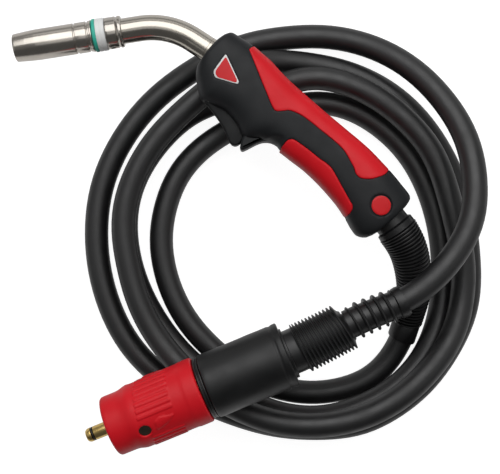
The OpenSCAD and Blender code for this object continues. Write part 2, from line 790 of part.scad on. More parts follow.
module gun_ferrule() {
    color("silver") difference() {
        route_tube([for (u = [0.3 : 0.35 : 1]) [u_ferrule + u, cable_d / 2 + 1.4]], 18);
        route_tube([for (u = [0.2 : 0.45 : 1.1]) [u_ferrule + u, cable_d / 2]], 12);
    }
}

module sleeve_bore(u0, u1, n) {
    route_tube([for (i = [0 : n]) [u0 + (u1 - u0) * i / n, sleeve_bore_r]], 16);
}

module gun_sleeve() {
    color([0.12, 0.12, 0.13]) difference() {
        route_tube(concat(
            [[u_handle - 0.6, sleeve_neck_d / 2], [u_handle + 0.55, sleeve_neck_d / 2],
             [u_handle + 0.6, sleeve_d / 2 - 0.6]],
            ribs(u_handle + 0.62, u_sleeve_end - 0.7, sleeve_ribs, sleeve_d / 2, sleeve_end_d / 2, rib_depth),
            [[u_sleeve_end - 0.65, sleeve_end_d / 2 - 1], [u_sleeve_end, sleeve_end_d / 2 - 1]]
        ), 18);
        sleeve_bore(u_handle - 0.8, u_sleeve_end + 0.3, 14);
    }
}

// ---- cable ----

module cable() {
    turns_start = u_sleeve_end;
    turns_steps = 74;
    color([0.1, 0.1, 0.11]) route_tube(concat(
        [for (u = [u_ferrule + 0.2 : 1 : turns_start - 0.5]) [u, cable_d / 2]],
        [for (i = [0 : turns_steps])
            [turns_start + (u_guide_end - turns_start) * i / turns_steps, cable_d / 2]],
        [for (u = [u_guide_end + 1 : 1 : u_cable_end - 0.5]) [u, cable_d / 2]],
        [[u_cable_end, cable_d / 2]]
    ), 12);
}

// ---- plug ----

module cable_guide() {
    color([0.12, 0.12, 0.13]) difference() {
        route_tube(concat(
            [[u_guide_end, guide_r]],
            [for (i = [0 : guide_rings - 1], part = [[0.15, 0], [0.3, 1], [0.7, 1], [0.85, 0]])
                let (f = (i + part[0]) / guide_rings)
                [u_guide_end + f * (u_rear_sleeve - u_guide_end),
                 guide_r + part[1] * (guide_d / 2 - guide_r) * (0.6 + 0.4 * f)]],
            [[u_rear_sleeve, guide_r]]
        ), 16);
        sleeve_bore(u_guide_end - 0.3, u_rear_sleeve + 0.3, 8);
    }
}

module rear_sleeve() {
    r = rear_sleeve_d / 2;
    color([0.12, 0.12, 0.13]) difference() {
        route_tube(concat(
            [[u_rear_sleeve, guide_d / 2], [u_rear_sleeve + 0.06, r - 3]],
            ribs(u_rear_sleeve + 0.08, u_housing - 0.26, rear_ribs, r - 0.6, r, 2.2),
            [[u_housing - 0.24, r - 2.5], [u_housing + 0.04, r - 2.5],
             [u_housing + 0.06, r - 0.1], [u_housing + 0.32, r - 0.1]]
        ), 20);
        sleeve_bore(u_rear_sleeve - 0.3, u_housing + 0.4, 8);
    }
}

module plug_housing() {
    r = housing_d / 2;
    b = r - housing_wall;
    rear_hole = rear_sleeve_d / 2 + rear_fit;
    step = housing_len - housing_rear_len;
    color([0.12, 0.12, 0.13]) difference() {
        on_plug() translate([0, 0, housing_seat]) rotate_extrude() polygon([
            [b, 0], [r - 0.6, 0], [r, 0.6], [r, step], [r - 0.6, step + 1],
            [r + 0.3, housing_len - 1.2], [r - 0.4, housing_len], [rear_hole + 1, housing_len],
            [rear_hole, housing_len - 1], [rear_hole, housing_len - 3], [b, housing_len - 3]
        ]);
        housing_screw_axis(body_rear_d / 2 - 2) cylinder(h = housing_d, d = housing_screw_d);
    }
}

module housing_ring() {
    color("black") on_plug() translate([0, 0, ring_seat]) difference() {
        cylinder(h = ring_w, d = housing_d - 2);
        translate([0, 0, -1]) cylinder(h = ring_w + 2, d = body_rear_d);
    }
}

module plug_insulator() {
    color([0.2, 0.2, 0.21]) on_plug() translate([0, 0, insulator_seat]) difference() {
        cylinder(h = disc_t, d = disc_d);
        translate([0, 0, -1]) cylinder(h = disc_t + 2, d = pin_root_d);
        for (s = [-1, 1]) translate([s * contact_r, 0, -1])
            cylinder(h = disc_t + 2, d = contact_d + 2 * run_gap);
    }
}

// Turned brass body: flange behind the insulator, two collars that carry the nut, and a shank
module plug_body() {
    shank = body_rear_d / 2;
    collar = nut_bore_d / 2 - run_fit;
    color("goldenrod") difference() {
        on_plug() rotate_extrude() polygon([
            [pin_bore_d / 2, body_seat], [disc_d / 2, body_seat], [disc_d / 2, body_seat + flange_t],
            [shank, body_seat + flange_t], [shank, lip_seat - seat_gap - carrier_t],
            [collar, lip_seat - seat_gap - carrier_t], [collar, lip_seat - seat_gap],
            [lip_d / 2 - 0.5, lip_seat - seat_gap], [lip_d / 2 - 0.5, lip_seat + lip_w + seat_gap],
            [collar, lip_seat + lip_w + seat_gap], [collar, nut_len], [shank, nut_len],
            [shank, crimp_seat], [pin_bore_d / 2, crimp_seat]
        ]);
        housing_screw_axis(shank - 2) cylinder(h = housing_d, d = housing_screw_d);
    }
}

// Gas and wire pin: it stands on the insulator's front, and its root goes through to the body
module centre_pin() {
    r = pin_d / 2;
    low = r - pin_ring_d - eps;
    tip = -pin_reach;
    g = tip + pin_land;
    color("goldenrod") on_plug() rotate_extrude() polygon([
        [pin_bore_d / 2, tip], [r - 1, tip], [r, tip + 1], [r, g], [low, g],
        [low, g + pin_groove_w], [r, g + pin_groove_w], [r, insulator_seat],
        [pin_root_d / 2, insulator_seat], [pin_root_d / 2, body_seat], [pin_bore_d / 2, body_seat]
    ]);
}

// The pin's O-ring, pressed flush as in the machine's socket
module pin_o_ring() {
    color("black") on_plug() translate([0, 0, -pin_reach + pin_land + pin_groove_w / 2])
        rotate_extrude() translate([(pin_d - pin_ring_d) / 2, 0]) circle(d = pin_ring_d);
}

module contact_pin(s) {
    color("gold") on_plug() translate([s * contact_r, 0, insulator_seat - contact_reach])
        union() {
            sphere(d = contact_d);
            cylinder(h = contact_reach + contact_hold, d = contact_d);
        }
}

module contact_spring(s) {
    color("gray") on_plug() translate([s * contact_r, 0, insulator_seat + contact_hold + 0.2])
        wire_spring(contact_d - 0.4, 0.6, 5, disc_t - contact_hold - 0.4);
}

module contact_pin_upper() { contact_pin(-1); }
module contact_pin_lower() { contact_pin(1); }
module contact_spring_upper() { contact_spring(-1); }
module contact_spring_lower() { contact_spring(1); }

// Axes of the nut's screws, from the distance r off the plug's axis
module at_nut_screws(r) {
    for (i = [0 : 2]) rotate([0, 0, nut_screw_turn + 120 * i])
        translate([r, 0, nut_screw_z]) rotate([0, 90, 0]) children();
}

module locking_nut() {
    r = nut_d / 2 - rib_h;
    f = nut_front_d / 2;
    b = nut_bore_d / 2;
    s1 = nut_front_len;
    s2 = nut_front_len + nut_shoulder_len;
    rib_turn = (nut_last_rib - nut_first_rib) / (nut_ribs / 3 - 1);
    color("crimson") on_plug() difference() {
        union() {
            rotate_extrude() polygon([
                [b, 0], [f - 2, 0], [f - 0.6, 0.5], [f, 1.8], [f, s1], [f + 0.4, s1 + 3],
                [r - 0.8, s2 - 2], [r, s2], [r, nut_len - nut_band_len], [r + rib_h, nut_len - nut_band_len + 2],
                [r + rib_h, nut_len - 1], [r - 0.4, nut_len], [b, nut_len],
                [b, lip_seat + lip_w], [lip_d / 2, lip_seat + lip_w], [lip_d / 2, lip_seat], [b, lip_seat]
            ]);
            for (i = [0 : 2], k = [0 : nut_ribs / 3 - 1])
                rotate([0, 0, nut_screw_turn + 120 * i - nut_first_rib - rib_turn * k])
                    translate([r - 1, -nut_rib_w / 2, s2 + nut_rib_seat]) cube([1 + rib_h, nut_rib_w, nut_rib_len]);
        }
        at_nut_screws(b - 1) cylinder(h = nut_d, d = nut_screw_d);
    }
}

module nut_thread_ring() {
    color("goldenrod") on_plug() translate([0, 0, thread_seat])
        tube(nut_front_len, nut_bore_d, thread_d);
}

module nut_screws() {
    color("dimgray") on_plug() at_nut_screws(nut_bore_d / 2 + 0.4) cylinder(h = nut_screw_len, d = nut_screw_d);
}

module plug_crimp() {
    crimp_len = along_plug(route_at(u_cable_end)) - crimp_seat - 0.15;
    color("silver") on_plug() translate([0, 0, crimp_seat]) tube(crimp_len, cable_d - 2, pin_d / 2);
}

// Axis of the housing's screw, from the distance r off the plug's axis; it points upwards
module housing_screw_axis(r) {
    on_plug() translate([0, 0, housing_seat + housing_screw_at]) rotate([0, 90, 180]) translate([0, 0, r]) children();
}

module housing_screw() {
    r = body_rear_d / 2 - 2;
    color("dimgray") housing_screw_axis(r) cylinder(h = housing_d / 2 - 0.6 - r, d = housing_screw_d);
}

gas_nozzle();
nozzle_o_ring();
insulator_ring();
neck_collar();
neck_tube();
neck_conductor();
contact_tip();
gas_diffuser();
tip_holder();
nozzle_spring();
wire_liner();
handle_shell_left();
handle_shell_right();
grip_back_left();
grip_back_right();
grip_front_left();
grip_front_right();
trigger();
trigger_pin();
trigger_spring();
microswitch();
switch_plunger();
switch_terminals();
trigger_wires();
badge_corner();
badge_round();
handle_screws();
neck_clamp();
crimp_link();
gun_ferrule();
gun_sleeve();
cable();
cable_guide();
rear_sleeve();
plug_housing();
housing_ring();
plug_insulator();
plug_body();
centre_pin();
pin_o_ring();
contact_pin_upper();
contact_pin_lower();
contact_spring_upper();
contact_spring_lower();
locking_nut();
nut_thread_ring();
nut_screws();
plug_crimp();
housing_screw();
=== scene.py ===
"""A MIG welding torch lying on its coiled cable: the looks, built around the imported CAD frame.

Lengths are in millimetres in the part's frame until a mesh is made; MM turns them into metres.
"""

import json
import math

import bmesh
import bpy
import numpy as np
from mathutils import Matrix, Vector
from mathutils.geometry import delaunay_2d_cdt


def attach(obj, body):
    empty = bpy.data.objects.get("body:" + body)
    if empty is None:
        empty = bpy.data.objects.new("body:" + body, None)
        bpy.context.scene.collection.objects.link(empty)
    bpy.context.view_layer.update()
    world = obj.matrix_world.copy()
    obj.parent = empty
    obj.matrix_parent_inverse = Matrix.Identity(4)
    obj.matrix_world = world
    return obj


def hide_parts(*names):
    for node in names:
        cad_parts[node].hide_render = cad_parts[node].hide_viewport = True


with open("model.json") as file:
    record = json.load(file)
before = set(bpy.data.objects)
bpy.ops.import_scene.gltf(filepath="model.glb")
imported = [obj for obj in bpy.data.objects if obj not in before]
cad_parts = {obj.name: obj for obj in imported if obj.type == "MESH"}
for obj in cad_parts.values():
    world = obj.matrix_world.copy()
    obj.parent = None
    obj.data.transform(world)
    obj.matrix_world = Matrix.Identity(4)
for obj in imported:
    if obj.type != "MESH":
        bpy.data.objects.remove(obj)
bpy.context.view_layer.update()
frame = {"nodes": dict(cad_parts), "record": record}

MM = 0.001
UP = np.array([0.0, 0.0, 1.0])

# ---- places that the CAD source fixes ----

GUN_HEIGHT = 57.0
LAYOUT_SHIFT = np.array([169.2, -136.0, -GUN_HEIGHT])
CABLE_D = 18.0
NOZZLE_LEN = 57.0
SEAT_O_RING = NOZZLE_LEN
SEAT_INSULATOR = 60.0
SEAT_COLLAR = 66.5
NECK_START = 78.5
BEND_START = 91.0
BEND_R = 55.0
BEND_ANGLE = 42.0
NECK_RISE = 9.0
BEND_END = BEND_START + BEND_R * math.radians(BEND_ANGLE)
NECK_END = BEND_END + 31.3
NECK_D = 18.2
HANDLE_HALF = 19.0
PLUG_FRONT = np.array([70.7, -270.0, 13.0])
PLUG_TURN = 22.3
NUT_LEN = 70.0
HOUSING_SEAT = 74.3

ROUTE = np.array([
    # inside the handle, then down through the sleeve
    [80, 36, 57], [87, 28, 57], [94, 20, 57], [101, 12, 57], [107, 4, 57], [115, -8, 53],
    [120, -24, 44], [123, -42, 32], [120, -59, 20], [117, -77, 13], [106, -97, 10],
    # first turn
    [89, -112, 9], [62, -120, 9], [35, -120, 9], [9, -113, 9], [-16, -98, 9], [-37, -79, 9],
    [-53, -59, 9], [-65, -32, 9], [-70, -2, 9], [-65, 27, 9], [-54, 52, 9], [-34, 72, 9],
    [-10, 86, 9], [17, 97, 9], [48, 105, 9], [75, 101, 9], [100, 87, 9], [122, 66, 9],
    [137, 39, 9], [146, 9, 9], [149, -19, 9], [148, -46, 10], [144, -65, 13],
    # second turn
    [136, -84, 19], [123, -102, 25], [103, -119, 27], [77, -131, 28], [51, -137, 28],
    [22, -134, 27], [-3, -124, 24], [-26, -110, 20], [-46, -96, 14], [-65, -76, 9],
    [-82, -49, 9], [-93, -20, 9], [-97, 12, 9], [-91, 42, 9], [-74, 70, 9], [-52, 92, 9],
    [-32, 102, 9], [-12, 107, 14], [6, 110, 20], [25, 115, 25], [46, 121, 28], [71, 117, 28],
    [98, 104, 28], [121, 85, 28], [139, 63, 28], [149, 33, 28], [156, 5, 28], [161, -19, 28],
    [160, -44, 28], [155, -66, 31],
    # third turn
    [144, -85, 38], [126, -105, 44], [106, -121, 47], [80, -134, 47], [49, -139, 47],
    [20, -137, 46], [-4, -129, 43], [-27, -118, 38], [-47, -102, 33], [-69, -78, 28],
    [-84, -51, 28], [-92, -21, 28], [-97, 11, 28], [-90, 42, 28], [-73, 72, 28], [-51, 94, 28],
    [-33, 109, 29], [-15, 123, 29], [3, 132, 22], [23, 135, 13], [48, 133, 9], [73, 128, 9],
    [99, 117, 9], [122, 100, 9], [141, 77, 9], [156, 49, 9], [164, 23, 9], [168, -6, 9],
    [170, -38, 9], [165, -64, 9],
    # fourth turn, which rises to the plug
    [151, -91, 9], [133, -115, 9], [108, -134, 9], [82, -146, 9], [50, -148, 9], [19, -146, 9],
    [-12, -137, 9], [-43, -124, 9], [-72, -106, 9], [-94, -83, 9], [-109, -54, 9],
    [-118, -20, 9], [-119, 17, 9], [-112, 50, 9], [-95, 82, 9], [-72, 109, 9], [-41, 131, 9],
    [-8, 148, 9], [27, 154, 9], [62, 155, 11], [96, 145, 18], [124, 126, 29], [145, 100, 40],
    [159, 72, 50], [163, 41, 58], [160, 13, 64], [148, -10, 68], [130, -31, 70],
    # into the plug
    [109, -46, 70], [89, -53, 70], [69, -62, 70], [49, -72.5, 70], [29, -81.5, 70],
    [10, -89.5, 70], [-9, -97, 70],
], float)
U_HANDLE = 3.0
U_SLEEVE_END = 9.0
U_GUIDE_END = len(ROUTE) - 7.0
U_REAR_SLEEVE = len(ROUTE) - 5.0
U_HOUSING = len(ROUTE) - 3.0

# Handle stations: finger side x, y, back x, y, share of the half thickness
STATIONS = np.array([
    [134.6, -7.7, 149.7, 8.5, 0.78], [131.7, -12.8, 155.5, 10.7, 0.9],
    [130.3, -20.7, 164.1, 6, 0.97], [131.7, -29.3, 172.1, 0.6, 1],
    [133.9, -37.3, 179.3, -5.6, 1], [140.3, -40.9, 185, -10.6, 1],
    [151.2, -46.6, 191.5, -17.8, 1], [159.1, -55.3, 198, -24.3, 0.99],
    [164.8, -65.4, 205.2, -30.8, 0.97], [177.8, -67.5, 213.9, -38.4, 0.95],
    [190.1, -74.7, 222.5, -45.9, 0.94], [198.7, -81.2, 231.2, -53.1, 0.94],
    [208.1, -88.4, 239.8, -60.3, 0.94], [216.7, -96.4, 248.5, -67.5, 0.95],
    [224.7, -105, 256.4, -74.7, 0.96], [231.9, -113.7, 264.3, -83, 0.98],
    [237.6, -122.3, 270.8, -89.9, 1], [242, -130.2, 277.3, -97.8, 1],
    [246.3, -135.3, 283.8, -106.5, 0.97], [252.8, -136.4, 282.3, -111.5, 0.92],
    [259.3, -133.1, 280.2, -113.7, 0.84],
])
ARCH_POWER = 0.72


# ---- paths ----

def route_at(u):
    """Point of the cable's centre line at place u: a uniform cubic B-spline through the route."""
    i = min(int(math.floor(u)), len(ROUTE) - 3)
    t = u - i
    a, b, c, d = ROUTE[i - 1:i + 3]
    point = (1 - t) ** 3 * a + (3 * t ** 3 - 6 * t * t + 4) * b
    point = point + (-3 * t ** 3 + 3 * t * t + 3 * t + 1) * c + t ** 3 * d
    return LAYOUT_SHIFT + point / 6


def unit(v):
    return v / np.linalg.norm(v)


def route_frame(u):
    """Centre, side and up vectors of the cable's cross-section at place u."""
    ahead = unit(route_at(u + 0.02) - route_at(u - 0.02))
    side = unit(np.cross(ahead, UP))
    return route_at(u), side, np.cross(side, ahead)


def turned(degrees):
    a = math.radians(degrees)
    return np.array([math.cos(a), math.sin(a), 0.0])


def straight_frame(origin, degrees):
    """Function of a distance along a level axis that gives centre, side and up vectors."""
    along = turned(degrees)
    side = np.cross(UP, along)
    return lambda s: (origin + along * s, side, UP)


on_nozzle = straight_frame(np.zeros(3), NECK_RISE)
on_plug = straight_frame(PLUG_FRONT, PLUG_TURN)


def neck_frame(s):
    """Centre, side and up vectors of the neck at the distance s from the nozzle's mouth."""
    w = min(max(math.degrees((s - BEND_START) / BEND_R), 0.0), BEND_ANGLE)
    rest = max(s - BEND_END, 0.0)
    a, full = math.radians(w), math.radians(BEND_ANGLE)
    x = min(s, BEND_START) + BEND_R * math.sin(a) + rest * math.cos(full)
    y = -BEND_R * (1 - math.cos(a)) - rest * math.sin(full)
    along, side = turned(NECK_RISE), np.cross(UP, turned(NECK_RISE))
    return along * x + side * y, np.cross(UP, turned(NECK_RISE - w)), UP


def smooth_path(points, step, closed=False):
    """Catmull-Rom curve through points, as points about a step apart."""
    pts = np.array(points, float)
    n = len(pts)
    out = []
    for i in range(n if closed else n - 1):
        if closed:
            p0, p1, p2, p3 = pts[i - 1], pts[i], pts[(i + 1) % n], pts[(i + 2) % n]
        else:
            p0, p1, p2, p3 = pts[max(i - 1, 0)], pts[i], pts[i + 1], pts[min(i + 2, n - 1)]
        count = max(2, int(np.linalg.norm(p2 - p1) / step))
        for k in range(count):
            t = k / count
            out.append(0.5 * (2 * p1 + (p2 - p0) * t + (2 * p0 - 5 * p1 + 4 * p2 - p3) * t * t
                              + (3 * p1 - p0 - 3 * p2 + p3) * t ** 3))
    if not closed:
        out.append(pts[-1])
    return np.array(out)


def rounded_loop(corners, radius, step=0.8):
    """Closed outline with its corners rounded by arcs that start radius from each corner."""
    pts = np.array(corners, float)
    out = []
    n = len(pts)
    for i in range(n):
        a, b, c = pts[i - 1], pts[i], pts[(i + 1) % n]
        r = min(radius, 0.49 * np.linalg.norm(a - b), 0.49 * np.linalg.norm(c - b))
        p, q = b + unit(a - b) * r, b + unit(c - b) * r
        for t in np.linspace(0, 1, 7):
            out.append((1 - t) ** 2 * p + 2 * t * (1 - t) * b + t * t * q)
    return resample(np.array(out + [out[0]]), step)[:-1]


def resample(path, step):
    lengths = np.concatenate([[0], np.cumsum(np.linalg.norm(np.diff(path, axis=0), axis=1))])
    count = max(3, int(lengths[-1] / step) + 1)
    at = np.linspace(0, lengths[-1], count)
    return np.stack([np.interp(at, lengths, path[:, k]) for k in range(path.shape[1])], axis=1)


# ---- meshes ----

def add_mesh(name, points, faces, material, slot, body="torch", sharp=35, replaces=None):
    """Object from points in millimetres, with doubles merged and its normals outwards.

    replaces names the CAD node whose place it takes.
    """
    mesh = bpy.data.meshes.new(name)
    mesh.from_pydata([tuple(p) for p in np.asarray(points) * MM], [], faces)
    bm = bmesh.new()
    bm.from_mesh(mesh)
    bmesh.ops.remove_doubles(bm, verts=bm.verts, dist=1e-6)
    bmesh.ops.recalc_face_normals(bm, faces=bm.faces)
    bm.to_mesh(mesh)
    bm.free()
    mesh.validate()
    obj = bpy.data.objects.new(name, mesh)
    bpy.context.scene.collection.objects.link(obj)
    mesh.polygons.foreach_set("use_smooth", [True] * len(mesh.polygons))
    mesh.set_sharp_from_angle(angle=math.radians(sharp))
    mesh.materials.append(material)
    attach(obj, body)
    if replaces:
        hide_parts(replaces)


def ring_faces(rows, n, closed=True, ends=True):
    """Quads between rows of n points; with ends, one face closes each end."""
    faces = []
    for i in range(rows - 1):
        for k in range(n if closed else n - 1):
            j = (k + 1) % n
            faces.append((i * n + k, (i + 1) * n + k, (i + 1) * n + j, i * n + j))
    if ends:
        faces += [tuple(range(n)), tuple(range((rows - 1) * n, rows * n))]
    return faces


def ring_points(place, r, n):
    centre, side, up = place
    angles = np.arange(n) * 2 * math.pi / n
    return centre + r * (np.outer(np.cos(angles), up) + np.outer(np.sin(angles), side))


def swept(name, steps, place, material, slot, n=64, **more):
    """Round hollow piece from a closed profile of steps (place, radius).

    place turns a step's first number into a frame.
    """
    rings = [ring_points(place(s), r, n) for s, r in steps]
    last = (len(rings) - 1) * n
    faces = ring_faces(len(rings), n, ends=False)
    faces += [(last + k, k, (k + 1) % n, last + (k + 1) % n) for k in range(n)]
    add_mesh(name, np.concatenate(rings), faces, material, slot, **more)


def soft_steps(corners, r=0.5, count=4):
    """Profile (distance, radius) with each corner rounded."""
    pts = np.array(corners, float)
    out = [pts[0]]
    for a, b, c in zip(pts[:-2], pts[1:-1], pts[2:]):
        cut = min(r, 0.45 * np.linalg.norm(a - b), 0.45 * np.linalg.norm(c - b))
        p, q = b + unit(a - b) * cut, b + unit(c - b) * cut
        for t in np.linspace(0, 1, count):
            out.append((1 - t) ** 2 * p + 2 * t * (1 - t) * b + t * t * q)
    out.append(pts[-1])
    return [tuple(p) for p in out]


def slab(name, outline, low, high, bevel, material, slot, steps=4, **more):
    """Flat piece with rounded edges from an outline in the gun's plane."""
    pts = np.asarray(outline, float)
    area = 0.5 * np.sum(pts[:, 0] * np.roll(pts[:, 1], -1) - np.roll(pts[:, 0], -1) * pts[:, 1])
    pts = pts if area > 0 else pts[::-1]
    tangent = np.roll(pts, -1, axis=0) - np.roll(pts, 1, axis=0)
    tangent /= np.linalg.norm(tangent, axis=1)[:, None]
    inward = np.stack([-tangent[:, 1], tangent[:, 0]], axis=1)
    levels = []
    for t in np.linspace(0, math.pi / 2, steps):
        levels.append((low + bevel * (1 - math.sin(t)), bevel * (1 - math.cos(t))))
    levels = levels[::-1]
    levels += [(low + high - z, inset) for z, inset in levels[::-1]]
    rows = [np.column_stack([pts + inward * inset, np.full(len(pts), z)]) for z, inset in levels]
    faces = ring_faces(len(rows), len(pts))
    add_mesh(name, np.concatenate(rows), faces, material, slot, **more)


# ---- relief: a surface with features raised or sunk along sharp outlines ----

def ellipse(centre, half_x, half_y, count):
    """Outline of an ellipse as count points."""
    t = np.linspace(0, 2 * math.pi, count, endpoint=False)
    return np.column_stack([centre[0] + half_x * np.cos(t), centre[1] + half_y * np.sin(t)])


class Feature:
    """An outline in a surface's own coordinates and its profile: heights by distance inside it.

    path is the part of the outline that shows; beyond closes it outside the surface.
    """

    def __init__(self, path, profile, beyond=()):
        self.path = np.array(path, float)
        self.ring = np.array(list(path) + list(beyond), float)
        self.open = len(beyond) > 0
        self.profile = sorted(profile)

    def distance(self, points):
        """Signed distance, positive inside the outline."""
        a = self.path if self.open else np.vstack([self.path, self.path[:1]])
        best = np.full(len(points), 1e9)
        for p, q in zip(a[:-1], a[1:]):
            d = q - p
            t = np.clip(((points - p) @ d) / max(d @ d, 1e-12), 0, 1)
            best = np.minimum(best, np.linalg.norm(points - p - t[:, None] * d, axis=1))
        inside = np.zeros(len(points), bool)
        x, y = points[:, 0], points[:, 1]
        r = self.ring
        for p, q in zip(r, np.roll(r, -1, axis=0)):
            cross = (p[1] > y) != (q[1] > y)
            if p[1] != q[1]:
                inside ^= cross & (x < (q[0] - p[0]) * (y - p[1]) / (q[1] - p[1]) + p[0])
        return np.where(inside, best, -best)

    def offsets(self):
        """Copies of the path at each distance of the profile."""
        r = self.ring
        area = np.sum(r[:, 0] * np.roll(r[:, 1], -1) - np.roll(r[:, 0], -1) * r[:, 1])
        if self.open:
            tangent = np.gradient(self.path, axis=0)
        else:
            tangent = np.roll(self.path, -1, axis=0) - np.roll(self.path, 1, axis=0)
        tangent /= np.maximum(np.linalg.norm(tangent, axis=1), 1e-9)[:, None]
        inward = np.stack([-tangent[:, 1], tangent[:, 0]], axis=1) * (1 if area > 0 else -1)
        return [self.path + inward * d for d, _ in self.profile]

    def height(self, points):
        d = self.distance(points)
        return np.interp(d, [p[0] for p in self.profile], [p[1] for p in self.profile])


def triangles_in(rect, spacing, features, only=None):
    """Triangles of a rectangle with the features' outlines as edges.

    only is the feature whose inside is kept, if not everything.
    """
    p0, p1, q0, q1 = rect
    ps = np.linspace(p0, p1, max(2, int((p1 - p0) / spacing)) + 1)
    qs = np.linspace(q0, q1, max(2, int((q1 - q0) / spacing)) + 1)
    grid = np.array([(p, q) for p in ps for q in qs])
    border = (grid[:, 0] == p0) | (grid[:, 0] == p1) | (grid[:, 1] == q0) | (grid[:, 1] == q1)
    keep = np.ones(len(grid), bool)
    for f in features:
        d = f.distance(grid)
        for at, _ in f.profile:
            keep &= np.abs(d - at) > 0.42 * spacing
    if only is not None:
        keep &= only.distance(grid) > 0
        border &= only.distance(grid) > 0
    points = [tuple(p) for p in grid[keep | border]]
    edges = []
    for f in features:
        for line in f.offsets():
            inside = ((line[:, 0] > p0 + 0.02) & (line[:, 0] < p1 - 0.02)
                      & (line[:, 1] > q0 + 0.02) & (line[:, 1] < q1 - 0.02))
            index = {}
            for k in range(len(line)):
                if inside[k]:
                    index[k] = len(points)
                    points.append(tuple(line[k]))
            count = len(line) if not f.open else len(line) - 1
            for k in range(count):
                j = (k + 1) % len(line)
                if k in index and j in index:
                    edges.append((index[k], index[j]))
    result = delaunay_2d_cdt([Vector(p) for p in points], edges, [], 0, 1e-4)
    verts = np.array([tuple(v) for v in result[0]])
    faces = np.array([tuple(f) for f in result[2]])
    if only is not None:
        middle = verts[faces].mean(axis=1)
        lowest = only.profile[0][0]
        faces = faces[only.distance(middle) > lowest - 1e-6]
    return verts, faces


def relief(name, surface, rect, spacing, features, material, slot, only=None, extra=None,
           mirrored=False, sharp=40, **more):
    """Piece of a surface with its features; surface(p, q) gives points and outward normals."""
    verts, faces = triangles_in(rect, spacing, features, only)
    used = np.unique(faces)
    renumber = np.full(len(verts), -1)
    renumber[used] = np.arange(len(used))
    verts, faces = verts[used], renumber[faces]
    points, normals = surface(verts[:, 0], verts[:, 1])
    height = np.zeros(len(verts))
    for f in features:
        height += f.height(verts)
    if extra is not None:
        height += extra(verts)
    points = points + normals * height[:, None]
    if mirrored:
        points = points * np.array([1, 1, -1])
    triangles = [tuple(int(k) for k in f) for f in faces]
    add_mesh(name, points, triangles, material, slot, sharp=sharp, **more)


# ---- materials ----

class Shader:
    """A Principled material with short calls for what its nodes need."""

    def __init__(self, name, colour, roughness, metallic=0.0, **sockets):
        self.mat = bpy.data.materials.new(name)
        self.mat.use_nodes = True
        self.tree = self.mat.node_tree
        self.bsdf = self.tree.nodes["Principled BSDF"]
        self.bsdf.inputs["Base Color"].default_value = (*colour, 1)
        self.bsdf.inputs["Roughness"].default_value = roughness
        self.bsdf.inputs["Metallic"].default_value = metallic
        for key, value in sockets.items():
            self.bsdf.inputs[key.replace("_", " ")].default_value = value
        self.coords = self.tree.nodes.new("ShaderNodeTexCoord").outputs["Object"]

    def mapped(self, scale=(1, 1, 1), turn=0.0):
        node = self.tree.nodes.new("ShaderNodeMapping")
        node.vector_type = "TEXTURE"
        node.inputs["Scale"].default_value = tuple(1 / v for v in scale)
        node.inputs["Rotation"].default_value = (0, 0, math.radians(turn))
        self.tree.links.new(self.coords, node.inputs["Vector"])
        return node.outputs[0]

    def noise(self, scale, detail=3.0, vector=None, rough=0.5):
        node = self.tree.nodes.new("ShaderNodeTexNoise")
        node.inputs["Scale"].default_value = scale
        node.inputs["Detail"].default_value = detail
        node.inputs["Roughness"].default_value = rough
        self.tree.links.new(vector or self.coords, node.inputs["Vector"])
        return node.outputs[0]

    def ranged(self, value, low, high, start=0.3, stop=0.7):
        node = self.tree.nodes.new("ShaderNodeMapRange")
        node.inputs["From Min"].default_value = start
        node.inputs["From Max"].default_value = stop
        node.inputs["To Min"].default_value = low
        node.inputs["To Max"].default_value = high
        self.tree.links.new(value, node.inputs["Value"])
        return node.outputs[0]

    def colours(self, value, first, second, start=0.3, stop=0.7):
        node = self.tree.nodes.new("ShaderNodeValToRGB")
        node.color_ramp.elements[0].position = start
        node.color_ramp.elements[0].color = (*first, 1)
        node.color_ramp.elements[1].position = stop
        node.color_ramp.elements[1].color = (*second, 1)
        self.tree.links.new(value, node.inputs["Fac"])
        self.tree.links.new(node.outputs["Color"], self.bsdf.inputs["Base Color"])

    def roughness(self, value):
        self.tree.links.new(value, self.bsdf.inputs["Roughness"])

    def bump(self, value, strength, distance):
        node = self.tree.nodes.new("ShaderNodeBump")
        node.inputs["Strength"].default_value = strength
        node.inputs["Distance"].default_value = distance
        self.tree.links.new(value, node.inputs["Height"])
        previous = self.bsdf.inputs["Normal"].links
        if previous:
            self.tree.links.new(previous[0].from_socket, node.inputs["Normal"])
        self.tree.links.new(node.outputs["Normal"], self.bsdf.inputs["Normal"])


def grained(name, colour, lighter, roughness, grain, depth, **sockets):
    """Moulded plastic or rubber: fine grain, faint colour and gloss variation."""
    s = Shader(name, colour, roughness, **sockets)
    s.colours(s.noise(40, 4), colour, lighter)
    s.roughness(s.ranged(s.noise(90, 3), roughness - 0.05, roughness + 0.07))
    s.bump(s.noise(grain, 2), 0.35, depth)
    s.bump(s.noise(60, 2), 0.15, 0.0003)
    return s.mat


def metal(name, colour, tint, roughness, turn=0.0, stretch=(6, 900, 900)):
    """Turned or drawn metal: fine lines across the mapped X axis, faint stains."""
    s = Shader(name, colour, roughness, metallic=1.0)
    s.colours(s.noise(60, 4), colour, tint)
    lines = s.noise(1.0, 3, s.mapped(stretch, turn))
    s.roughness(s.ranged(lines, roughness - 0.04, roughness + 0.05))
    s.bump(lines, 0.1, 0.00001)
    return s.mat


SOFT = {"Specular_IOR_Level": 0.3}
ALONG_NOZZLE = {"turn": NECK_RISE, "stretch": (18, 260, 260)}
ALONG_PLUG = {"turn": PLUG_TURN, "stretch": (18, 260, 260)}
EVEN = {"stretch": (120, 120, 120)}

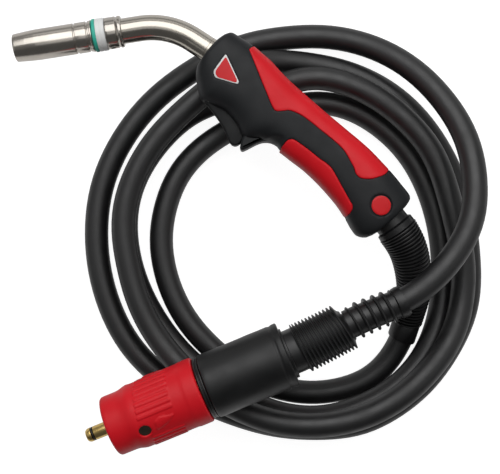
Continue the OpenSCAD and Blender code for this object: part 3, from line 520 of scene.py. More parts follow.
NICKEL = metal("nickel", (0.46, 0.43, 0.39), (0.54, 0.5, 0.45), 0.2, **ALONG_NOZZLE)
NICKEL_NECK = metal("nickel_neck", (0.47, 0.44, 0.39), (0.54, 0.5, 0.44), 0.19,
                    stretch=(60, 60, 60))
BRASS = metal("brass", (0.62, 0.42, 0.13), (0.74, 0.54, 0.22), 0.22, **ALONG_PLUG)
COPPER = metal("copper", (0.7, 0.36, 0.22), (0.78, 0.45, 0.3), 0.3)
STEEL = metal("steel", (0.42, 0.42, 0.43), (0.52, 0.52, 0.52), 0.34, **EVEN)
DARK_STEEL = metal("dark_steel", (0.08, 0.07, 0.06), (0.2, 0.17, 0.12), 0.3, **EVEN)
BLACK_PLASTIC = grained("black_plastic", (0.0095, 0.0105, 0.012), (0.0125, 0.0135, 0.015), 0.5,
                        2600, 0.00006, **SOFT)
BLACK_RUBBER = grained("black_rubber", (0.005, 0.005, 0.0055), (0.007, 0.007, 0.0075), 0.46,
                       2200, 0.00003, Specular_IOR_Level=0.75)
RIBBED_RUBBER = grained("ribbed_rubber", (0.004, 0.004, 0.0045), (0.007, 0.007, 0.0075), 0.36,
                        1800, 0.00004, Specular_IOR_Level=0.6)
HOUSING_RUBBER = grained("housing_rubber", (0.004, 0.0042, 0.0045), (0.006, 0.0062, 0.0065), 0.42,
                         1500, 0.0001, Specular_IOR_Level=0.5)
TRIGGER_RUBBER = grained("trigger_rubber", (0.004, 0.0045, 0.005), (0.007, 0.0075, 0.008), 0.55,
                         1500, 0.00012, **SOFT)
RED_GRIP = grained("red_grip", (0.72, 0.0055, 0.013), (0.79, 0.0085, 0.018), 0.45,
                   2600, 0.00005, **SOFT)
RED_NUT = grained("red_nut", (0.71, 0.007, 0.015), (0.79, 0.01, 0.02), 0.42, 1700, 0.00006, **SOFT)
RED_BADGE = grained("red_badge", (0.64, 0.008, 0.012), (0.7, 0.012, 0.018), 0.36,
                    2600, 0.00002, **SOFT)
WHITE_BADGE = grained("white_badge", (0.78, 0.77, 0.76), (0.84, 0.83, 0.82), 0.35, 2600, 0.00002)
WHITE_RING = grained("white_ring", (0.86, 0.87, 0.86), (0.92, 0.92, 0.9), 0.35, 1400, 0.00004)
GREEN_RING = grained("green_ring", (0.03, 0.46, 0.34), (0.05, 0.56, 0.42), 0.4, 1400, 0.00004)
BROWN_INSULATOR = grained("brown_insulator", (0.2, 0.09, 0.04), (0.26, 0.12, 0.06), 0.5,
                          1400, 0.00005)
BLUE_WIRE = grained("blue_wire", (0.02, 0.06, 0.25), (0.03, 0.08, 0.3), 0.4, 1400, 0.00002)

SLOT_LOOKS = {
    "nickel": NICKEL, "green_rubber": GREEN_RING, "white_insulator": WHITE_RING,
    "copper": COPPER, "brown_insulator": BROWN_INSULATOR, "brass": BRASS, "steel": STEEL,
    "black_plastic": BLACK_PLASTIC, "red_grip": RED_GRIP, "red_plastic": RED_NUT,
    "wire_insulation": BLUE_WIRE, "white_badge": WHITE_BADGE, "black_rubber": BLACK_RUBBER,
}


# ---- camera, floor and light ----

VIEW_WIDTH = 390.0
CAMERA_HEIGHT = 750.0
SENSOR_WIDTH = 36.0
# in metres
CAMERA_PLACE = (0.1692, -0.136)
FLOOR_HALF = 4.0
LAMPS_AIM = (0.17, -0.13, 0.0)


def add_camera():
    data = bpy.data.cameras.new("camera")
    data.sensor_width = SENSOR_WIDTH
    data.lens = SENSOR_WIDTH * CAMERA_HEIGHT / VIEW_WIDTH
    camera = bpy.data.objects.new("camera", data)
    camera.location = (*CAMERA_PLACE, (CAMERA_HEIGHT - GUN_HEIGHT) * MM)
    bpy.context.scene.collection.objects.link(camera)
    bpy.context.scene.camera = camera


def seen_strength(nodes, links, seen, mirrored):
    """Strength of a pale background: as the camera and glass see it, and as glossy pieces do."""
    path = nodes.new("ShaderNodeLightPath")
    strength = None
    shares = (("Is Camera Ray", seen), ("Is Glossy Ray", mirrored), ("Is Transmission Ray", seen))
    for ray, share in shares:
        power = nodes.new("ShaderNodeMath")
        power.operation = "MULTIPLY_ADD"
        power.inputs[1].default_value = share
        power.inputs[2].default_value = 0.0
        links.new(path.outputs[ray], power.inputs[0])
        if strength is not None:
            links.new(strength, power.inputs[2])
        strength = power.outputs[0]
    return strength


def add_floor():
    """Plain white table, which the camera sees a little brighter than the light on it makes it."""
    mesh = bpy.data.meshes.new("floor")
    z = -GUN_HEIGHT * MM
    corners = [(x * FLOOR_HALF, y * FLOOR_HALF, z) for x, y in ((-1, -1), (1, -1), (1, 1), (-1, 1))]
    mesh.from_pydata(corners, [], [(0, 1, 2, 3)])
    floor = bpy.data.objects.new("floor", mesh)
    bpy.context.scene.collection.objects.link(floor)
    s = Shader("floor_white", (0.35, 0.35, 0.35), 0.9, Specular_IOR_Level=0.0)
    nodes, links = s.tree.nodes, s.tree.links
    glow = nodes.new("ShaderNodeEmission")
    glow.inputs["Color"].default_value = (1, 1, 1, 1)
    links.new(seen_strength(nodes, links, 0.92, 0.5), glow.inputs["Strength"])
    both = nodes.new("ShaderNodeAddShader")
    links.new(s.bsdf.outputs[0], both.inputs[0])
    links.new(glow.outputs[0], both.inputs[1])
    links.new(both.outputs[0], nodes["Material Output"].inputs["Surface"])
    mesh.materials.append(s.mat)


def add_world():
    """Dim studio, lighter on the side of the big lamp (+Y) and white to the camera."""
    world = bpy.data.worlds.new("studio")
    world.use_nodes = True
    nodes, links = world.node_tree.nodes, world.node_tree.links
    way = nodes.new("ShaderNodeTexCoord")
    split = nodes.new("ShaderNodeSeparateXYZ")
    links.new(way.outputs["Generated"], split.inputs[0])
    level = nodes.new("ShaderNodeMapRange")
    level.inputs["From Min"].default_value = -0.9
    level.inputs["From Max"].default_value = 0.9
    level.inputs["To Min"].default_value = 0.05
    level.inputs["To Max"].default_value = 0.32
    links.new(split.outputs["Y"], level.inputs["Value"])
    nodes["Background"].inputs["Color"].default_value = (1, 1, 1, 1)
    brighter = nodes.new("ShaderNodeMath")
    brighter.operation = "MAXIMUM"
    links.new(level.outputs[0], brighter.inputs[0])
    links.new(seen_strength(nodes, links, 1.0, 0.1), brighter.inputs[1])
    links.new(brighter.outputs[0], nodes["Background"].inputs["Strength"])
    bpy.context.scene.world = world
    bpy.context.scene.view_settings.view_transform = "Standard"


def add_softbox(name, location, size, radiance):
    """Lamp that looks as bright as radiance says: 1 is white."""
    data = bpy.data.lights.new(name, "AREA")
    data.shape = "RECTANGLE"
    data.size, data.size_y = size
    data.energy = radiance * math.pi * size[0] * size[1]
    light = bpy.data.objects.new(name, data)
    light.location = location
    way = Vector(LAMPS_AIM) - Vector(location)
    light.rotation_euler = way.to_track_quat("-Z", "Y").to_euler()
    bpy.context.scene.collection.objects.link(light)


add_camera()
add_floor()
add_world()
add_softbox("key", (0.17, 0.41, 0.865), (1.2, 0.82), 2.05)
add_softbox("low", (0.17, 0.94, 0.42), (1.2, 0.3), 0.45)
add_softbox("top", (0.17, -0.13, 1.15), (0.7, 0.5), 0.5)
add_softbox("left", (-0.66, -0.2, 0.62), (0.8, 0.8), 0.3)
add_softbox("right", (1.0, -0.2, 0.62), (0.8, 0.8), 0.3)


# ---- cable ----

def cable():
    curve = bpy.data.curves.new("coax_cable", "CURVE")
    curve.dimensions = "3D"
    spline = curve.splines.new("POLY")
    places = np.arange(U_HANDLE, U_HOUSING + 0.001, 0.2)
    points = np.array([route_at(u) for u in places]) * MM
    spline.points.add(len(points) - 1)
    spline.points.foreach_set("co", np.column_stack([points, np.ones(len(points))]).ravel())
    spline.use_smooth = True
    curve.bevel_depth = CABLE_D / 2 * MM
    curve.bevel_resolution = 10
    curve.use_fill_caps = True
    curve.materials.append(BLACK_RUBBER)
    obj = bpy.data.objects.new("coax_cable", curve)
    bpy.context.scene.collection.objects.link(obj)
    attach(obj, "torch")
    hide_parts("cable")


cable()


# ---- gun front ----

def gun_front():
    r, lip, bore = 11.0, 10.0, 8.5
    g1, g2 = NOZZLE_LEN - 12.5, NOZZLE_LEN - 3.2
    groove = [(-0.7, 0), (-0.45, -0.9), (0.45, -0.9), (0.7, 0)]
    outer = [(0.6, lip - 1.2), (0.0, lip - 0.7), (0.3, lip - 0.15), (1.2, lip), (9, r - 0.4),
             (16, r - 0.02), (17, r)]
    outer += [(g1 + dz, r + dr) for dz, dr in groove]
    outer += [(g2 + dz, r + dr) for dz, dr in groove]
    outer += [(NOZZLE_LEN - 1.3, r), (NOZZLE_LEN - 1.1, r + 0.3), (NOZZLE_LEN - 0.2, r + 0.3),
              (NOZZLE_LEN, r)]
    inner = [(NOZZLE_LEN, bore), (1.4, bore)]
    swept("nozzle_shell", soft_steps(outer, 0.15) + inner, on_nozzle, NICKEL, "nickel", n=96,
          body="nozzle", replaces="gas_nozzle")

    bore = 6.25
    s0, s1, s = SEAT_O_RING, SEAT_INSULATOR, SEAT_COLLAR
    seal = [(s0 + 0.3, bore), (s0 + 0.3, 11.2), (s0 + 0.8, 11.85), (s1 - 0.5, 11.85), (s1, 11.2),
            (s1, bore)]
    swept("seal_ring", soft_steps(seal, 0.5), on_nozzle, GREEN_RING, "green_rubber", n=96,
          replaces="nozzle_o_ring")
    white = [(s1, bore), (s1, 11.5), (s1 + 0.4, 11.75), (s1 + 2.6, 11.8), (s1 + 2.8, 11.5),
             (s1 + 3.2, 11.5), (s1 + 3.4, 11.8), (s - 0.4, 11.75), (s, 11.5), (s, bore)]
    swept("white_ring", soft_steps(white, 0.3), on_nozzle, WHITE_RING,
          "white_insulator", n=96, replaces="insulator_ring")

    r = 11.3
    collar = [(s, 7.5), (s, r - 0.6), (s + 0.5, r), (s + 7.9, r), (s + 8.2, r - 0.7),
              (s + 9, r - 0.7), (s + 9.3, r + 0.1), (s + 11.2, r + 0.1), (s + 12, r - 0.9),
              (s + 12, 7.5)]
    prof = np.array(soft_steps(collar, 0.3, 3))
    length = np.concatenate([[0], np.cumsum(np.linalg.norm(np.diff(prof, axis=0), axis=1))])

    def surface(p, q):
        """Collar by distance along its profile and arc; also gives its outward normals."""
        dist, rad = np.interp(p, length, prof[:, 0]), np.interp(p, length, prof[:, 1])
        tilt = [np.interp(p, length, np.gradient(prof[:, k])) for k in (0, 1)]
        return turned_surface(on_nozzle, dist, rad, tilt, q / r)

    middle = float(np.interp(s + 4.5, prof[2:-2, 0], length[2:-2]))
    dimple = [(-0.35, 0.0), (0.0, -0.35), (0.25, -0.9), (1.0, -1.2)]
    ovals = [Feature(ellipse((middle, turn * r), 2.6, 3.4, 36), dimple)
             for turn in (math.pi / 2, -math.pi / 2)]
    half = math.pi * r
    relief("collar_shell", surface, (0, float(length[-1]), -half, half), 0.9, ovals, NICKEL,
           "nickel", sharp=30, replaces="neck_collar")

    r, mark = NECK_D / 2, NECK_END - 19.0
    tube = [(NECK_START - 0.5, r - 1), (NECK_START - 0.5, r)]
    tube += [(s, r) for s in np.linspace(NECK_START, mark, 60)]
    tube += [(mark + 0.15, r - 0.3), (mark + 0.45, r - 0.3), (mark + 0.6, r + 0.1)]
    tube += [(s, r + 0.1) for s in np.linspace(mark + 1, NECK_END - 0.5, 8)]
    tube += [(NECK_END, r), (NECK_END, r - 1.6)]
    tube += [(s, r - 1.6) for s in np.linspace(NECK_END, NECK_START, 40)]
    swept("swan_neck", tube, neck_frame, NICKEL_NECK, "nickel", n=64, replaces="neck_tube")


def turned_surface(place, dist, rad, tilt, angle):
    """Points and outward normals of a turned form; tilt is the profile's direction (along, out)."""
    centre0, side, up = place(0.0)
    along = place(1.0)[0] - centre0
    out = np.outer(np.cos(angle), up) + np.outer(np.sin(angle), side)
    points = centre0 + np.outer(dist, along) + out * rad[:, None]
    size = np.hypot(tilt[0], tilt[1])
    normals = out * (tilt[0] / size)[:, None] - np.outer(tilt[1] / size, along)
    return points, normals


gun_front()


# ---- handle ----

def handle_curves():
    """Stations of the handle as one array, with ends that close inside the neck and the sleeve."""
    body = STATIONS.copy()

    def shrunk(row, centre, scale, share, push):
        out = row.copy()
        out[0:2] = centre + (row[0:2] - centre) * scale + push
        out[2:4] = centre + (row[2:4] - centre) * scale + push
        out[4] = share
        return out

    front = neck_frame(NECK_END - 15.0)[0][:2]
    neck_way = turned(NECK_RISE - BEND_ANGLE)[:2]
    rear = route_at(U_HANDLE)[:2]
    rear_way = unit(route_at(U_HANDLE + 0.3) - route_at(U_HANDLE))[:2]
    first = [shrunk(body[0], front, 0.35, 0.2, neck_way * 0.4),
             shrunk(body[0], front, 0.72, 0.6, -neck_way * 0.6)]
    last = [shrunk(body[-1], rear, 0.8, 0.72, rear_way * 0.8),
            shrunk(body[-1], rear, 0.4, 0.3, rear_way * 0.2)]
    return np.vstack([first, body, last])


def neck_lip(verts):
    """Step behind the lip that holds the neck."""
    return -0.9 * (1 - np.clip((verts[:, 0] - HANDLE_WAY[2] - 1.8) / 0.9, 0, 1))


HANDLE = handle_curves()
HANDLE_MID = (HANDLE[:, 0:2] + HANDLE[:, 2:4]) / 2
HANDLE_WAY = np.concatenate([[0], np.cumsum(np.linalg.norm(np.diff(HANDLE_MID, axis=0), axis=1))])
HANDLE_LEN = float(HANDLE_WAY[-1])
HANDLE_ARC = 62.0


def handle_row(p):
    """Belly, back and share at the distance p along the handle, smooth between the stations."""
    p = np.clip(p, 0, HANDLE_LEN - 1e-6)
    i = np.clip(np.searchsorted(HANDLE_WAY, p, side="right") - 1, 0, len(HANDLE) - 2)
    t = ((p - HANDLE_WAY[i]) / (HANDLE_WAY[i + 1] - HANDLE_WAY[i]))[:, None]
    h = HANDLE
    a, b, c, d = h[np.maximum(i - 1, 0)], h[i], h[i + 1], h[np.minimum(i + 2, len(h) - 1)]
    return 0.5 * (2 * b + (c - a) * t + (2 * a - 5 * b + 4 * c - d) * t ** 2
                  + (3 * b - a - 3 * c + d) * t ** 3)


def handle_points(p, q):
    row = handle_row(p)
    phi = np.clip(q / HANDLE_ARC, 0, 1) * math.pi
    power = 2 / ARCH_POWER
    c, s = np.cos(phi), np.sin(phi)
    rho = (np.abs(c) ** power + np.abs(s) ** power) ** (-1 / power)
    mid = (row[:, 0:2] + row[:, 2:4]) / 2
    reach = (row[:, 2:4] - row[:, 0:2]) / 2
    flat = mid + reach * (c * rho)[:, None]
    return np.column_stack([flat, HANDLE_HALF * row[:, 4] * s * rho])


def handle_surface(p, q):
    """Upper half of the handle's form: points and outward normals."""
    e = 0.15
    points = handle_points(p, q)
    dp = handle_points(np.minimum(p + e, HANDLE_LEN), q) - handle_points(np.maximum(p - e, 0), q)
    dq = handle_points(p, np.minimum(q + e, HANDLE_ARC)) - handle_points(p, np.maximum(q - e, 0))
    normals = np.cross(dp, dq)
    normals /= np.maximum(np.linalg.norm(normals, axis=1), 1e-9)[:, None]
    normals[np.abs(points[:, 2]) < 1e-6, 2] = 0
    row = handle_row(p)
    outward = points - np.column_stack([(row[:, 0:2] + row[:, 2:4]) / 2, np.zeros(len(p))])
    normals[np.sum(normals * outward, axis=1) < 0] *= -1
    return points, normals


def on_handle(outline):
    """Plan points of an outline as (p, q) of the handle's surface.

    Beyond the surface's edges q leaves 0..HANDLE_ARC.
    """
    grid = np.linspace(0, HANDLE_LEN, 900)
    row = handle_row(grid)
    mid, reach = (row[:, 0:2] + row[:, 2:4]) / 2, (row[:, 2:4] - row[:, 0:2]) / 2
    half = np.linalg.norm(reach, axis=1)
    across = reach / half[:, None]
    ahead = np.gradient(mid, axis=0)
    ahead = ahead - across * np.sum(ahead * across, axis=1)[:, None]
    ahead /= np.maximum(np.linalg.norm(ahead, axis=1), 1e-9)[:, None]
    power = 2 / ARCH_POWER
    found = []
    for point in outline:
        rel = point - mid
        off = np.sum(rel * ahead, axis=1)
        v = np.sum(rel * across, axis=1) / half
        score = np.abs(off) + 0.02 * np.abs(v) * half
        k = int(np.argmin(score))
        value = v[k]
        inside = min(abs(value), 0.9999)
        phi = math.atan((inside ** -power - 1) ** (1 / power)) if inside > 1e-6 else math.pi / 2
        q = phi / math.pi * HANDLE_ARC
        if abs(value) > 1:
            q = -(abs(value) - 1) * half[k]
        found.append((grid[k], q if value > 0 else HANDLE_ARC - q))
    return np.array(found)


GRIP_BACK_EDGE = [
    (168.4, -2.6), (170.8, -9.2), (176.4, -24.1), (180.6, -34.6), (184.8, -44.5), (187.4, -47.6),
    (192.2, -47.6), (197.4, -47.2), (205.2, -50.5), (211.9, -55.2), (218.5, -60.5), (224.9, -65.6),
    (230.6, -70.4), (235.1, -75.0), (238.0, -79.7), (240.2, -83.8), (242.1, -87.4), (243.5, -91.6),
    (246.4, -94.5), (250.6, -95.3), (255.2, -95.1), (260.0, -93.7), (264.3, -91.9), (268.5, -88.1),
]
GRIP_FRONT_EDGE = [
    (188.0, -77.8), (191.9, -71.9), (195.1, -68.2), (198.1, -67.2), (201.4, -68.1), (209.9, -74.1),
    (218.7, -81.1), (223.6, -84.5), (227.1, -88.2), (229.9, -93.0), (232.7, -98.1), (236.3, -104.7),
    (240.0, -111.3), (241.4, -113.9), (241.2, -116.8), (239.5, -119.9), (235.7, -124.8),
]
GRIP_SINK = [(-0.45, 0.0), (-0.2, -0.08), (0.0, -0.35), (0.12, -1.3)]
GRIP_RISE = [(0.12, -1.25), (0.2, -0.35), (0.45, 0.0), (1.1, 0.16)]
SLOT_SINK = [(-0.4, 0.0), (-0.1, -0.15), (0.0, -0.5), (0.15, -5.0)]
SCOOP_EDGE = [
    (171.5, -74.0), (176.0, -69.6), (180.6, -66.0), (186.0, -63.4), (191.0, -63.6), (194.2, -66.2),
    (193.6, -71.0), (192.4, -78.0),
]
SCOOP_SINK = [(0.0, 0.0), (1.2, -0.35), (3.0, -1.3), (6.0, -2.4)]
BADGE_CORNERS = [(152.3, -7.0), (143.1, -19.7), (144.5, -24.3), (160.8, -29.1), (161.8, -27.2)]
BADGE_ROUND = (261.3, -113.9)
TRIGGER_HALF = 5.9
SLOT_SPAN = (32.5, 62.0)
GUARD_HALF = 9.4
HANDLE_MESH = 1.25
BADGE_MESH = 1.0


def grip_feature(edge, back, profile):
    """A grip's outline on the handle's surface, from edge to edge of the half shell."""
    path = on_handle(smooth_path(edge, 1.0))
    lift = -1 if back else 1
    end = -12.0 if back else HANDLE_ARC + 12.0
    inside = (path[:, 1] > -2.5) & (path[:, 1] < HANDLE_ARC + 2.5)
    path = path[inside]
    outside = [(path[-1][0] + 2.0, end), (path[0][0] - 2.0, end)]
    path[0][1] += lift * 3
    path[-1][1] += lift * 3
    return Feature(path, profile, beyond=outside)


def slot_feature():
    """The trigger's slot: where the finger side comes within reach of the trigger's width."""
    half_width = TRIGGER_HALF + 0.7
    places = np.linspace(*SLOT_SPAN, 40)
    path = []
    for p in places:
        qs = np.linspace(HANDLE_ARC / 2, HANDLE_ARC, 120)
        z = handle_points(np.full(120, p), qs)[:, 2]
        path.append((p, float(np.interp(-half_width, -z, qs))))
    path = [(places[0] - 0.01, HANDLE_ARC + 3)] + path + [(places[-1] + 0.01, HANDLE_ARC + 3)]
    path = resample(np.array(path), 1.0)
    beyond = [(places[-1] + 1, HANDLE_ARC + 9), (places[0] - 1, HANDLE_ARC + 9)]
    return Feature(path, SLOT_SINK, beyond=beyond)


def circle_feature(centre, radius, profile):
    return Feature(on_handle(ellipse(centre, radius, radius, 72)), profile)


def corner_feature(inset, profile):
    """The corner badge's rounded outline, drawn in by inset."""
    pts = np.array(BADGE_CORNERS)
    middle = pts.mean(axis=0)
    shrunk = middle + (pts - middle) * (1 - inset / 8.0)
    return Feature(on_handle(rounded_loop(shrunk, 1.8)), profile)


def handle():
    rect = (0.0, HANDLE_LEN, 0.0, HANDLE_ARC)
    crease_a, crease_b = on_handle(np.array([(179.4, -17.4), (197.2, -43.0)]))

    def facet(verts):
        """Soft crease on the back grip: its front part tilts down away from the crease."""
        way = unit(crease_b - crease_a)
        off = (verts[:, 0] - crease_a[0]) * way[1] - (verts[:, 1] - crease_a[1]) * way[0]
        return -0.06 * np.clip(-off, 0, 12)

    for side, mirrored in (("left", False), ("right", True)):
        back = grip_feature(GRIP_BACK_EDGE, True, GRIP_SINK)
        front = grip_feature(GRIP_FRONT_EDGE, False, GRIP_SINK)
        scoop = grip_feature(SCOOP_EDGE, False, SCOOP_SINK)
        features = [back, front, slot_feature(), scoop]
        if not mirrored:
            features.append(corner_feature(0.0, [(-0.3, 0.0), (0.0, -0.25), (0.1, -0.6)]))
            ring_sink = [(-0.4, 0.0), (0.0, -0.3), (0.25, -1.1)]
            features.append(circle_feature(BADGE_ROUND, 7.9, ring_sink))
        relief(f"shell_{side}", handle_surface, rect, HANDLE_MESH, features, BLACK_PLASTIC,
               "black_plastic", mirrored=mirrored, extra=neck_lip, replaces=f"handle_shell_{side}")
        for which, edge in (("back", GRIP_BACK_EDGE), ("front", GRIP_FRONT_EDGE)):
            rise = grip_feature(edge, which == "back", GRIP_RISE)
            relief(f"soft_{which}_{side}", handle_surface, rect, HANDLE_MESH, [rise],
                   RED_GRIP, "red_grip", only=rise, mirrored=mirrored,
                   extra=facet if which == "back" else None, replaces=f"grip_{which}_{side}")

    plate = corner_feature(0.0, [(0.12, -0.5), (0.2, 0.0), (0.5, 0.15)])
    relief("corner_plate", handle_surface, rect, BADGE_MESH, [plate], WHITE_BADGE,
           "white_badge", only=plate, replaces="badge_corner")
    field = corner_feature(1.3, [(0.0, 0.1), (0.05, 0.2), (0.2, 0.22)])
    relief("corner_field", handle_surface, rect, BADGE_MESH, [field], RED_BADGE, "red_plastic",
           only=field)
    disc = circle_feature(BADGE_ROUND, 6.9, [(0.0, -0.6), (0.1, -0.1), (0.5, 0.1), (1.0, 0.16)])
    relief("round_disc", handle_surface, rect, BADGE_MESH, [disc], RED_BADGE, "red_plastic",
           only=disc, replaces="badge_round")


handle()

TRIGGER_EDGE = [
    (136.6, -39.4), (140.2, -43.6), (144.6, -49.4), (148.6, -55.4), (151.6, -61.0), (153.8, -66.4),
    (155.8, -69.6), (158.6, -70.6), (161.4, -69.4), (163.6, -66.8), (164.6, -62.8), (161.2, -53.8),
    (155.6, -46.1), (149.0, -40.8), (142.7, -37.2), (138.2, -36.4),
]
GUARD_EDGE = [
    (167.2, -59.0), (164.0, -64.6), (162.2, -70.6), (162.2, -73.0), (163.8, -74.2), (167.6, -72.6),
    (173.8, -69.4), (178.2, -67.9), (183.2, -67.2), (185.8, -63.0), (177.2, -57.0),
]


def trigger_and_guard():
    outline = smooth_path(TRIGGER_EDGE, 0.8, closed=True)
    slab("trigger_lever", outline, -TRIGGER_HALF, TRIGGER_HALF, 1.4, TRIGGER_RUBBER,
         "black_plastic", body="trigger", steps=5, replaces="trigger")
    outline = smooth_path(GUARD_EDGE, 0.8, closed=True)
    slab("finger_guard", outline, -GUARD_HALF, GUARD_HALF, 2.6, BLACK_PLASTIC, "black_plastic",
         steps=7)


trigger_and_guard()


# ---- sleeves on the cable ----

RIB_SHAPE = ((0.0, 1.0), (0.1, 0.55), (0.22, 0.1), (0.4, 0.0), (0.58, 0.1), (0.7, 0.55), (0.8, 1.0))
BORE_R = CABLE_D / 2 + 0.2


def rib_steps(u0, u1, count, r0, r1, depth):
    """Rounded ribs between two places on the route, tapering from r0 to r1."""
    out = []
    for i in range(count):
        for part, low in RIB_SHAPE:
            f = (i + part) / count
            out.append((u0 + f * (u1 - u0), r0 + f * (r1 - r0) - depth * low))
    return out


def gun_sleeve():
    neck, rim = 12.4, 10.7
    u0, u1 = U_HANDLE, U_SLEEVE_END
    steps = [(u0 - 0.6, BORE_R), (u0 - 0.6, neck), (u0 + 0.4, neck), (u0 + 0.5, 14.2)]
    steps += [(u0 + 0.8, 14.4)]
    steps += rib_steps(u0 + 0.85, u1 - 0.7, 30, 15.0, 11.75, 1.7)
    steps += [(u1 - 0.66, rim), (u1 - 0.05, rim), (u1, rim - 0.3), (u1, BORE_R)]
    steps += [(u, BORE_R) for u in np.linspace(u1 - 0.3, u0 - 0.3, 30)]
    swept("bend_sleeve", steps, route_frame, RIBBED_RUBBER, "black_rubber", n=56,
          replaces="gun_sleeve")


def cable_guide():
    """Tube round the cable behind the bellows, with a spiral wound round it."""
    r0, u0 = CABLE_D / 2, U_GUIDE_END
    count = U_REAR_SLEEVE - u0
    steps = [(u0, r0 + 0.1), (u0, r0 + 2.2), (u0 + 0.12, r0 + 2.6), (u0 + 0.26, r0 + 2.2),
             (u0 + 0.3, r0 + 1.1)]
    steps += [(u0 + 0.3 + f * (count - 0.3), r0 + 1.1 + 0.5 * f) for f in np.linspace(0.05, 1, 20)]
    steps += [(U_REAR_SLEEVE, r0 + 0.1)]
    steps += [(u, r0 + 0.1) for u in np.linspace(U_REAR_SLEEVE - 0.1, u0 + 0.1, 20)]
    swept("guide_tube", steps, route_frame, RIBBED_RUBBER, "black_rubber", n=56,
          replaces="cable_guide")
    turns, per_turn, sides, wire = 5.5, 40, 10, 1.5
    guide_len = np.linalg.norm(route_at(U_REAR_SLEEVE) - route_at(u0))
    rings = []
    total = int(turns * per_turn)
    for i in range(total + 1):
        f = i / total
        centre, side, up = route_frame(u0 + 0.25 + f * (count - 0.35))
        a = 2 * math.pi * turns * f
        out = math.cos(a) * up + math.sin(a) * side
        along = np.cross(up, side)
        way = unit(r0 * (-math.sin(a) * up + math.cos(a) * side) * 2 * math.pi * turns
                   + along * -guide_len)
        flat = unit(np.cross(way, out))
        size = wire * min(1.0, 6 * f + 0.2, 6 * (1 - f) + 0.2)
        middle = centre + out * (r0 + 1.4 + 0.9 * f)
        t = np.arange(sides) * 2 * math.pi / sides
        section = 1.25 * np.outer(np.cos(t), out) + 0.9 * np.outer(np.sin(t), flat)
        rings.append(middle + size * section)
    add_mesh("guide_spiral", np.concatenate(rings), ring_faces(len(rings), sides), RIBBED_RUBBER,
             "black_rubber")


def bellows_frame(u):
    """The cable's frame, turned a little further than the cable where the bellows bend."""
    centre, side, up = route_frame(u)
    skew = math.radians(7) * min(max((U_HOUSING - 0.2 - u) / 0.3, 0.0), 1.0)
    return centre, side * math.cos(skew) + np.cross(up, side) * math.sin(skew), up


def rear_sleeve():
    r = 18.5
    u0, u1 = U_REAR_SLEEVE, U_HOUSING
    steps = [(u0, BORE_R), (u0, 11.5), (u0 + 0.05, 12.3), (u0 + 0.09, 14.6)]
    steps += rib_steps(u0 + 0.1, u1 - 0.28, 13, r - 0.6, r, 2.3)
    steps += [(u1 - 0.27, 15.9), (u1 - 0.25, 16.0), (u1 + 0.04, 16.0), (u1 + 0.05, 18.2),
              (u1 + 0.06, 18.4), (u1 + 0.31, 18.4), (u1 + 0.32, 18.2), (u1 + 0.32, BORE_R)]
    steps += [(u, BORE_R) for u in np.linspace(u1 - 0.1, u0 + 0.1, 10)]
    swept("bellows", steps, bellows_frame, RIBBED_RUBBER, "black_rubber", n=72,
          replaces="rear_sleeve")


gun_sleeve()
cable_guide()
rear_sleeve()


# ---- plug ----

def housing():
    r = 23.3
    s = HOUSING_SEAT
    outer = [(s + 0.2, 20.8), (s + 0.2, r - 0.9), (s + 0.9, r - 0.2), (s + 3, r),
             (s + 20, r - 0.15), (s + 34, r), (s + 40, r + 0.1), (s + 48, r), (s + 54, r + 0.1),
             (s + 55, r - 0.35), (s + 56, r - 0.35), (s + 57, r + 0.15), (s + 60.2, r + 0.3),
             (s + 61, r - 0.4), (s + 61, 19.6), (s + 60.2, 18.9), (s + 58, 18.9)]
    inner = [(s + 58, 20.7), (s + 0.2, 20.7)]
    swept("plug_boot", soft_steps(outer, 0.7) + inner, on_plug, HOUSING_RUBBER,
          "black_plastic", n=128, replaces="plug_housing")
    seat = NUT_LEN + 0.3
    ring = [(seat, 8.1), (seat, 21.4), (seat + 0.5, 22.2), (seat + 1.5, 22.3), (seat + 1.9, 21.6),
            (seat + 2.3, 21.6), (seat + 2.7, 22.3), (seat + 3.6, 22.3), (seat + 4, 21.7),
            (seat + 4, 8.1)]
    swept("boot_ring", soft_steps(ring, 0.3), on_plug, RIBBED_RUBBER, "black_plastic",
          n=128, replaces="housing_ring")


def stadium(z0, z1, arc, half):
    """Outline of an axial rib with round ends, in the nut's (profile, arc) coordinates."""
    t = np.linspace(-math.pi / 2, math.pi / 2, 9)
    one = [(z1 - half + half * math.cos(a), arc + half * math.sin(a)) for a in t]
    two = [(z0 + half - half * math.cos(a), arc - half * math.sin(a)) for a in t]
    return resample(np.array(one + two + [one[0]]), 0.7)[:-1]


NUT_GROUPS = (0, 120, 240)
NUT_RIBS = 8
FIRST_RIB, RIB_TURN, RIB_HALF = 2.0, 10.6, 1.45
SCREW_TURN, SCREW_PLACE, SCREW_HOLE_R = -24.0, 25.0, 4.5
ARROW = ((33, 31), (33, 24), (33.5, 13), (38, 8), (48.5, 13.5), (42, 25))
NUT_SEAM = -112


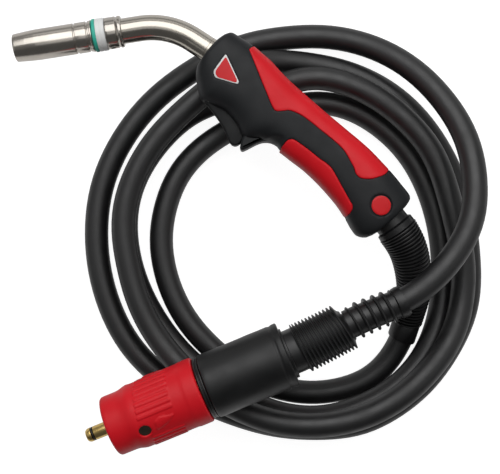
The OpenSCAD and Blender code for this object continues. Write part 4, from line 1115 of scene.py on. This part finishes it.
def nut():
    """Locking nut: three groups of grip ribs, each with a screw hole and an arrow."""
    r, f, bore = 23.4, 21.6, 18.65
    profile = [(14.0, bore), (1.2, bore), (0.0, bore + 0.9), (0.0, f - 1.6), (0.6, f - 0.4),
               (2.0, f), (12, f), (14.6, f + 0.3), (18.4, r - 0.4), (20.6, r), (58.5, r + 0.1),
               (60.0, r + 0.55), (69.2, r + 0.5), (70.0, r - 0.3), (70.0, bore + 0.6),
               (69.2, bore), (56.0, bore)]
    prof = np.array(soft_steps(profile, 0.9, 5))
    length = np.concatenate([[0], np.cumsum(np.linalg.norm(np.diff(prof, axis=0), axis=1))])
    slope = np.gradient(prof, length, axis=0)

    def at(z):
        """Profile distance of a place on the nut's outside."""
        k = (length > 14.5) & (length < length[-1] - 16)
        return float(np.interp(z, prof[k, 0], length[k]))

    def surface(p, q):
        dist, rad = np.interp(p, length, prof[:, 0]), np.interp(p, length, prof[:, 1])
        tilt = np.interp(p, length, slope[:, 0]), np.interp(p, length, slope[:, 1])
        return turned_surface(on_plug, dist, rad, tilt, q / r)

    rise = [(0.0, 0.0), (0.35, 0.42), (0.75, 0.5)]
    arrow_rise = [(0.0, 0.0), (0.5, 0.5), (3.0, 0.75)]
    hole = [(-0.4, 0.0), (0.0, -0.3), (0.15, -2.4)]
    features = []
    arc = math.radians(1) * r
    for group in NUT_GROUPS:
        for k in range(NUT_RIBS):
            turn = group + FIRST_RIB + RIB_TURN * k
            ends = at(22.8 + 0.62 * k), at(49.3 + 0.28 * k)
            features.append(Feature(stadium(*ends, turn * arc, RIB_HALF), rise))
        centre = (at(SCREW_PLACE), (group + SCREW_TURN) * arc)
        features.append(Feature(ellipse(centre, SCREW_HOLE_R, SCREW_HOLE_R, 48), hole))
        arrow = [(at(z), (group - turn) * arc) for z, turn in ARROW]
        features.append(Feature(rounded_loop(arrow, 1.4, 0.7), arrow_rise))
    whole = 2 * math.pi * r
    seam = math.radians(NUT_SEAM) * r
    for feature in features:
        for part in (feature.path, feature.ring):
            part[:, 1] = part[:, 1] - whole * np.floor((part[:, 1].mean() - seam) / whole)
    rect = (0.0, float(length[-1]), seam, seam + whole)
    relief("nut_shell", surface, rect, 1.1, features, RED_NUT, "red_plastic", body="nut",
           sharp=50, replaces="locking_nut")


def centre_pin():
    """Brass pin with a rounded nose and the groove of its O-ring."""
    r = 5.0
    outer = [(-18.0, 2.6), (-18.0, 3.6), (-17.6, 4.1), (-16.6, 4.75), (-15.4, r), (-14.1, r),
             (-14.0, r - 1.25), (-12.2, r - 1.25), (-12.1, r), (7.8, r), (7.8, 4.5), (17.8, 4.5),
             (17.8, 2.6)]
    swept("plug_pin", soft_steps(outer, 0.25), on_plug, BRASS, "brass", n=80, replaces="centre_pin")


housing()
nut()
centre_pin()


# ---- CAD nodes that stay ----

def dress_frame():
    """Gives each CAD node that still shows the look of its slot."""
    looks = {"nut_screws": DARK_STEEL, "handle_screws": DARK_STEEL, "switch_plunger": RED_BADGE}
    for part in frame["record"]["subparts"]:
        node, slot = part["node"], part["material_slot"]
        mesh = frame["nodes"][node].data
        material = looks.get(node, SLOT_LOOKS[slot])
        if not mesh.materials:
            mesh.materials.append(material)
        for k in range(len(mesh.materials)):
            mesh.materials[k] = material


dress_frame()
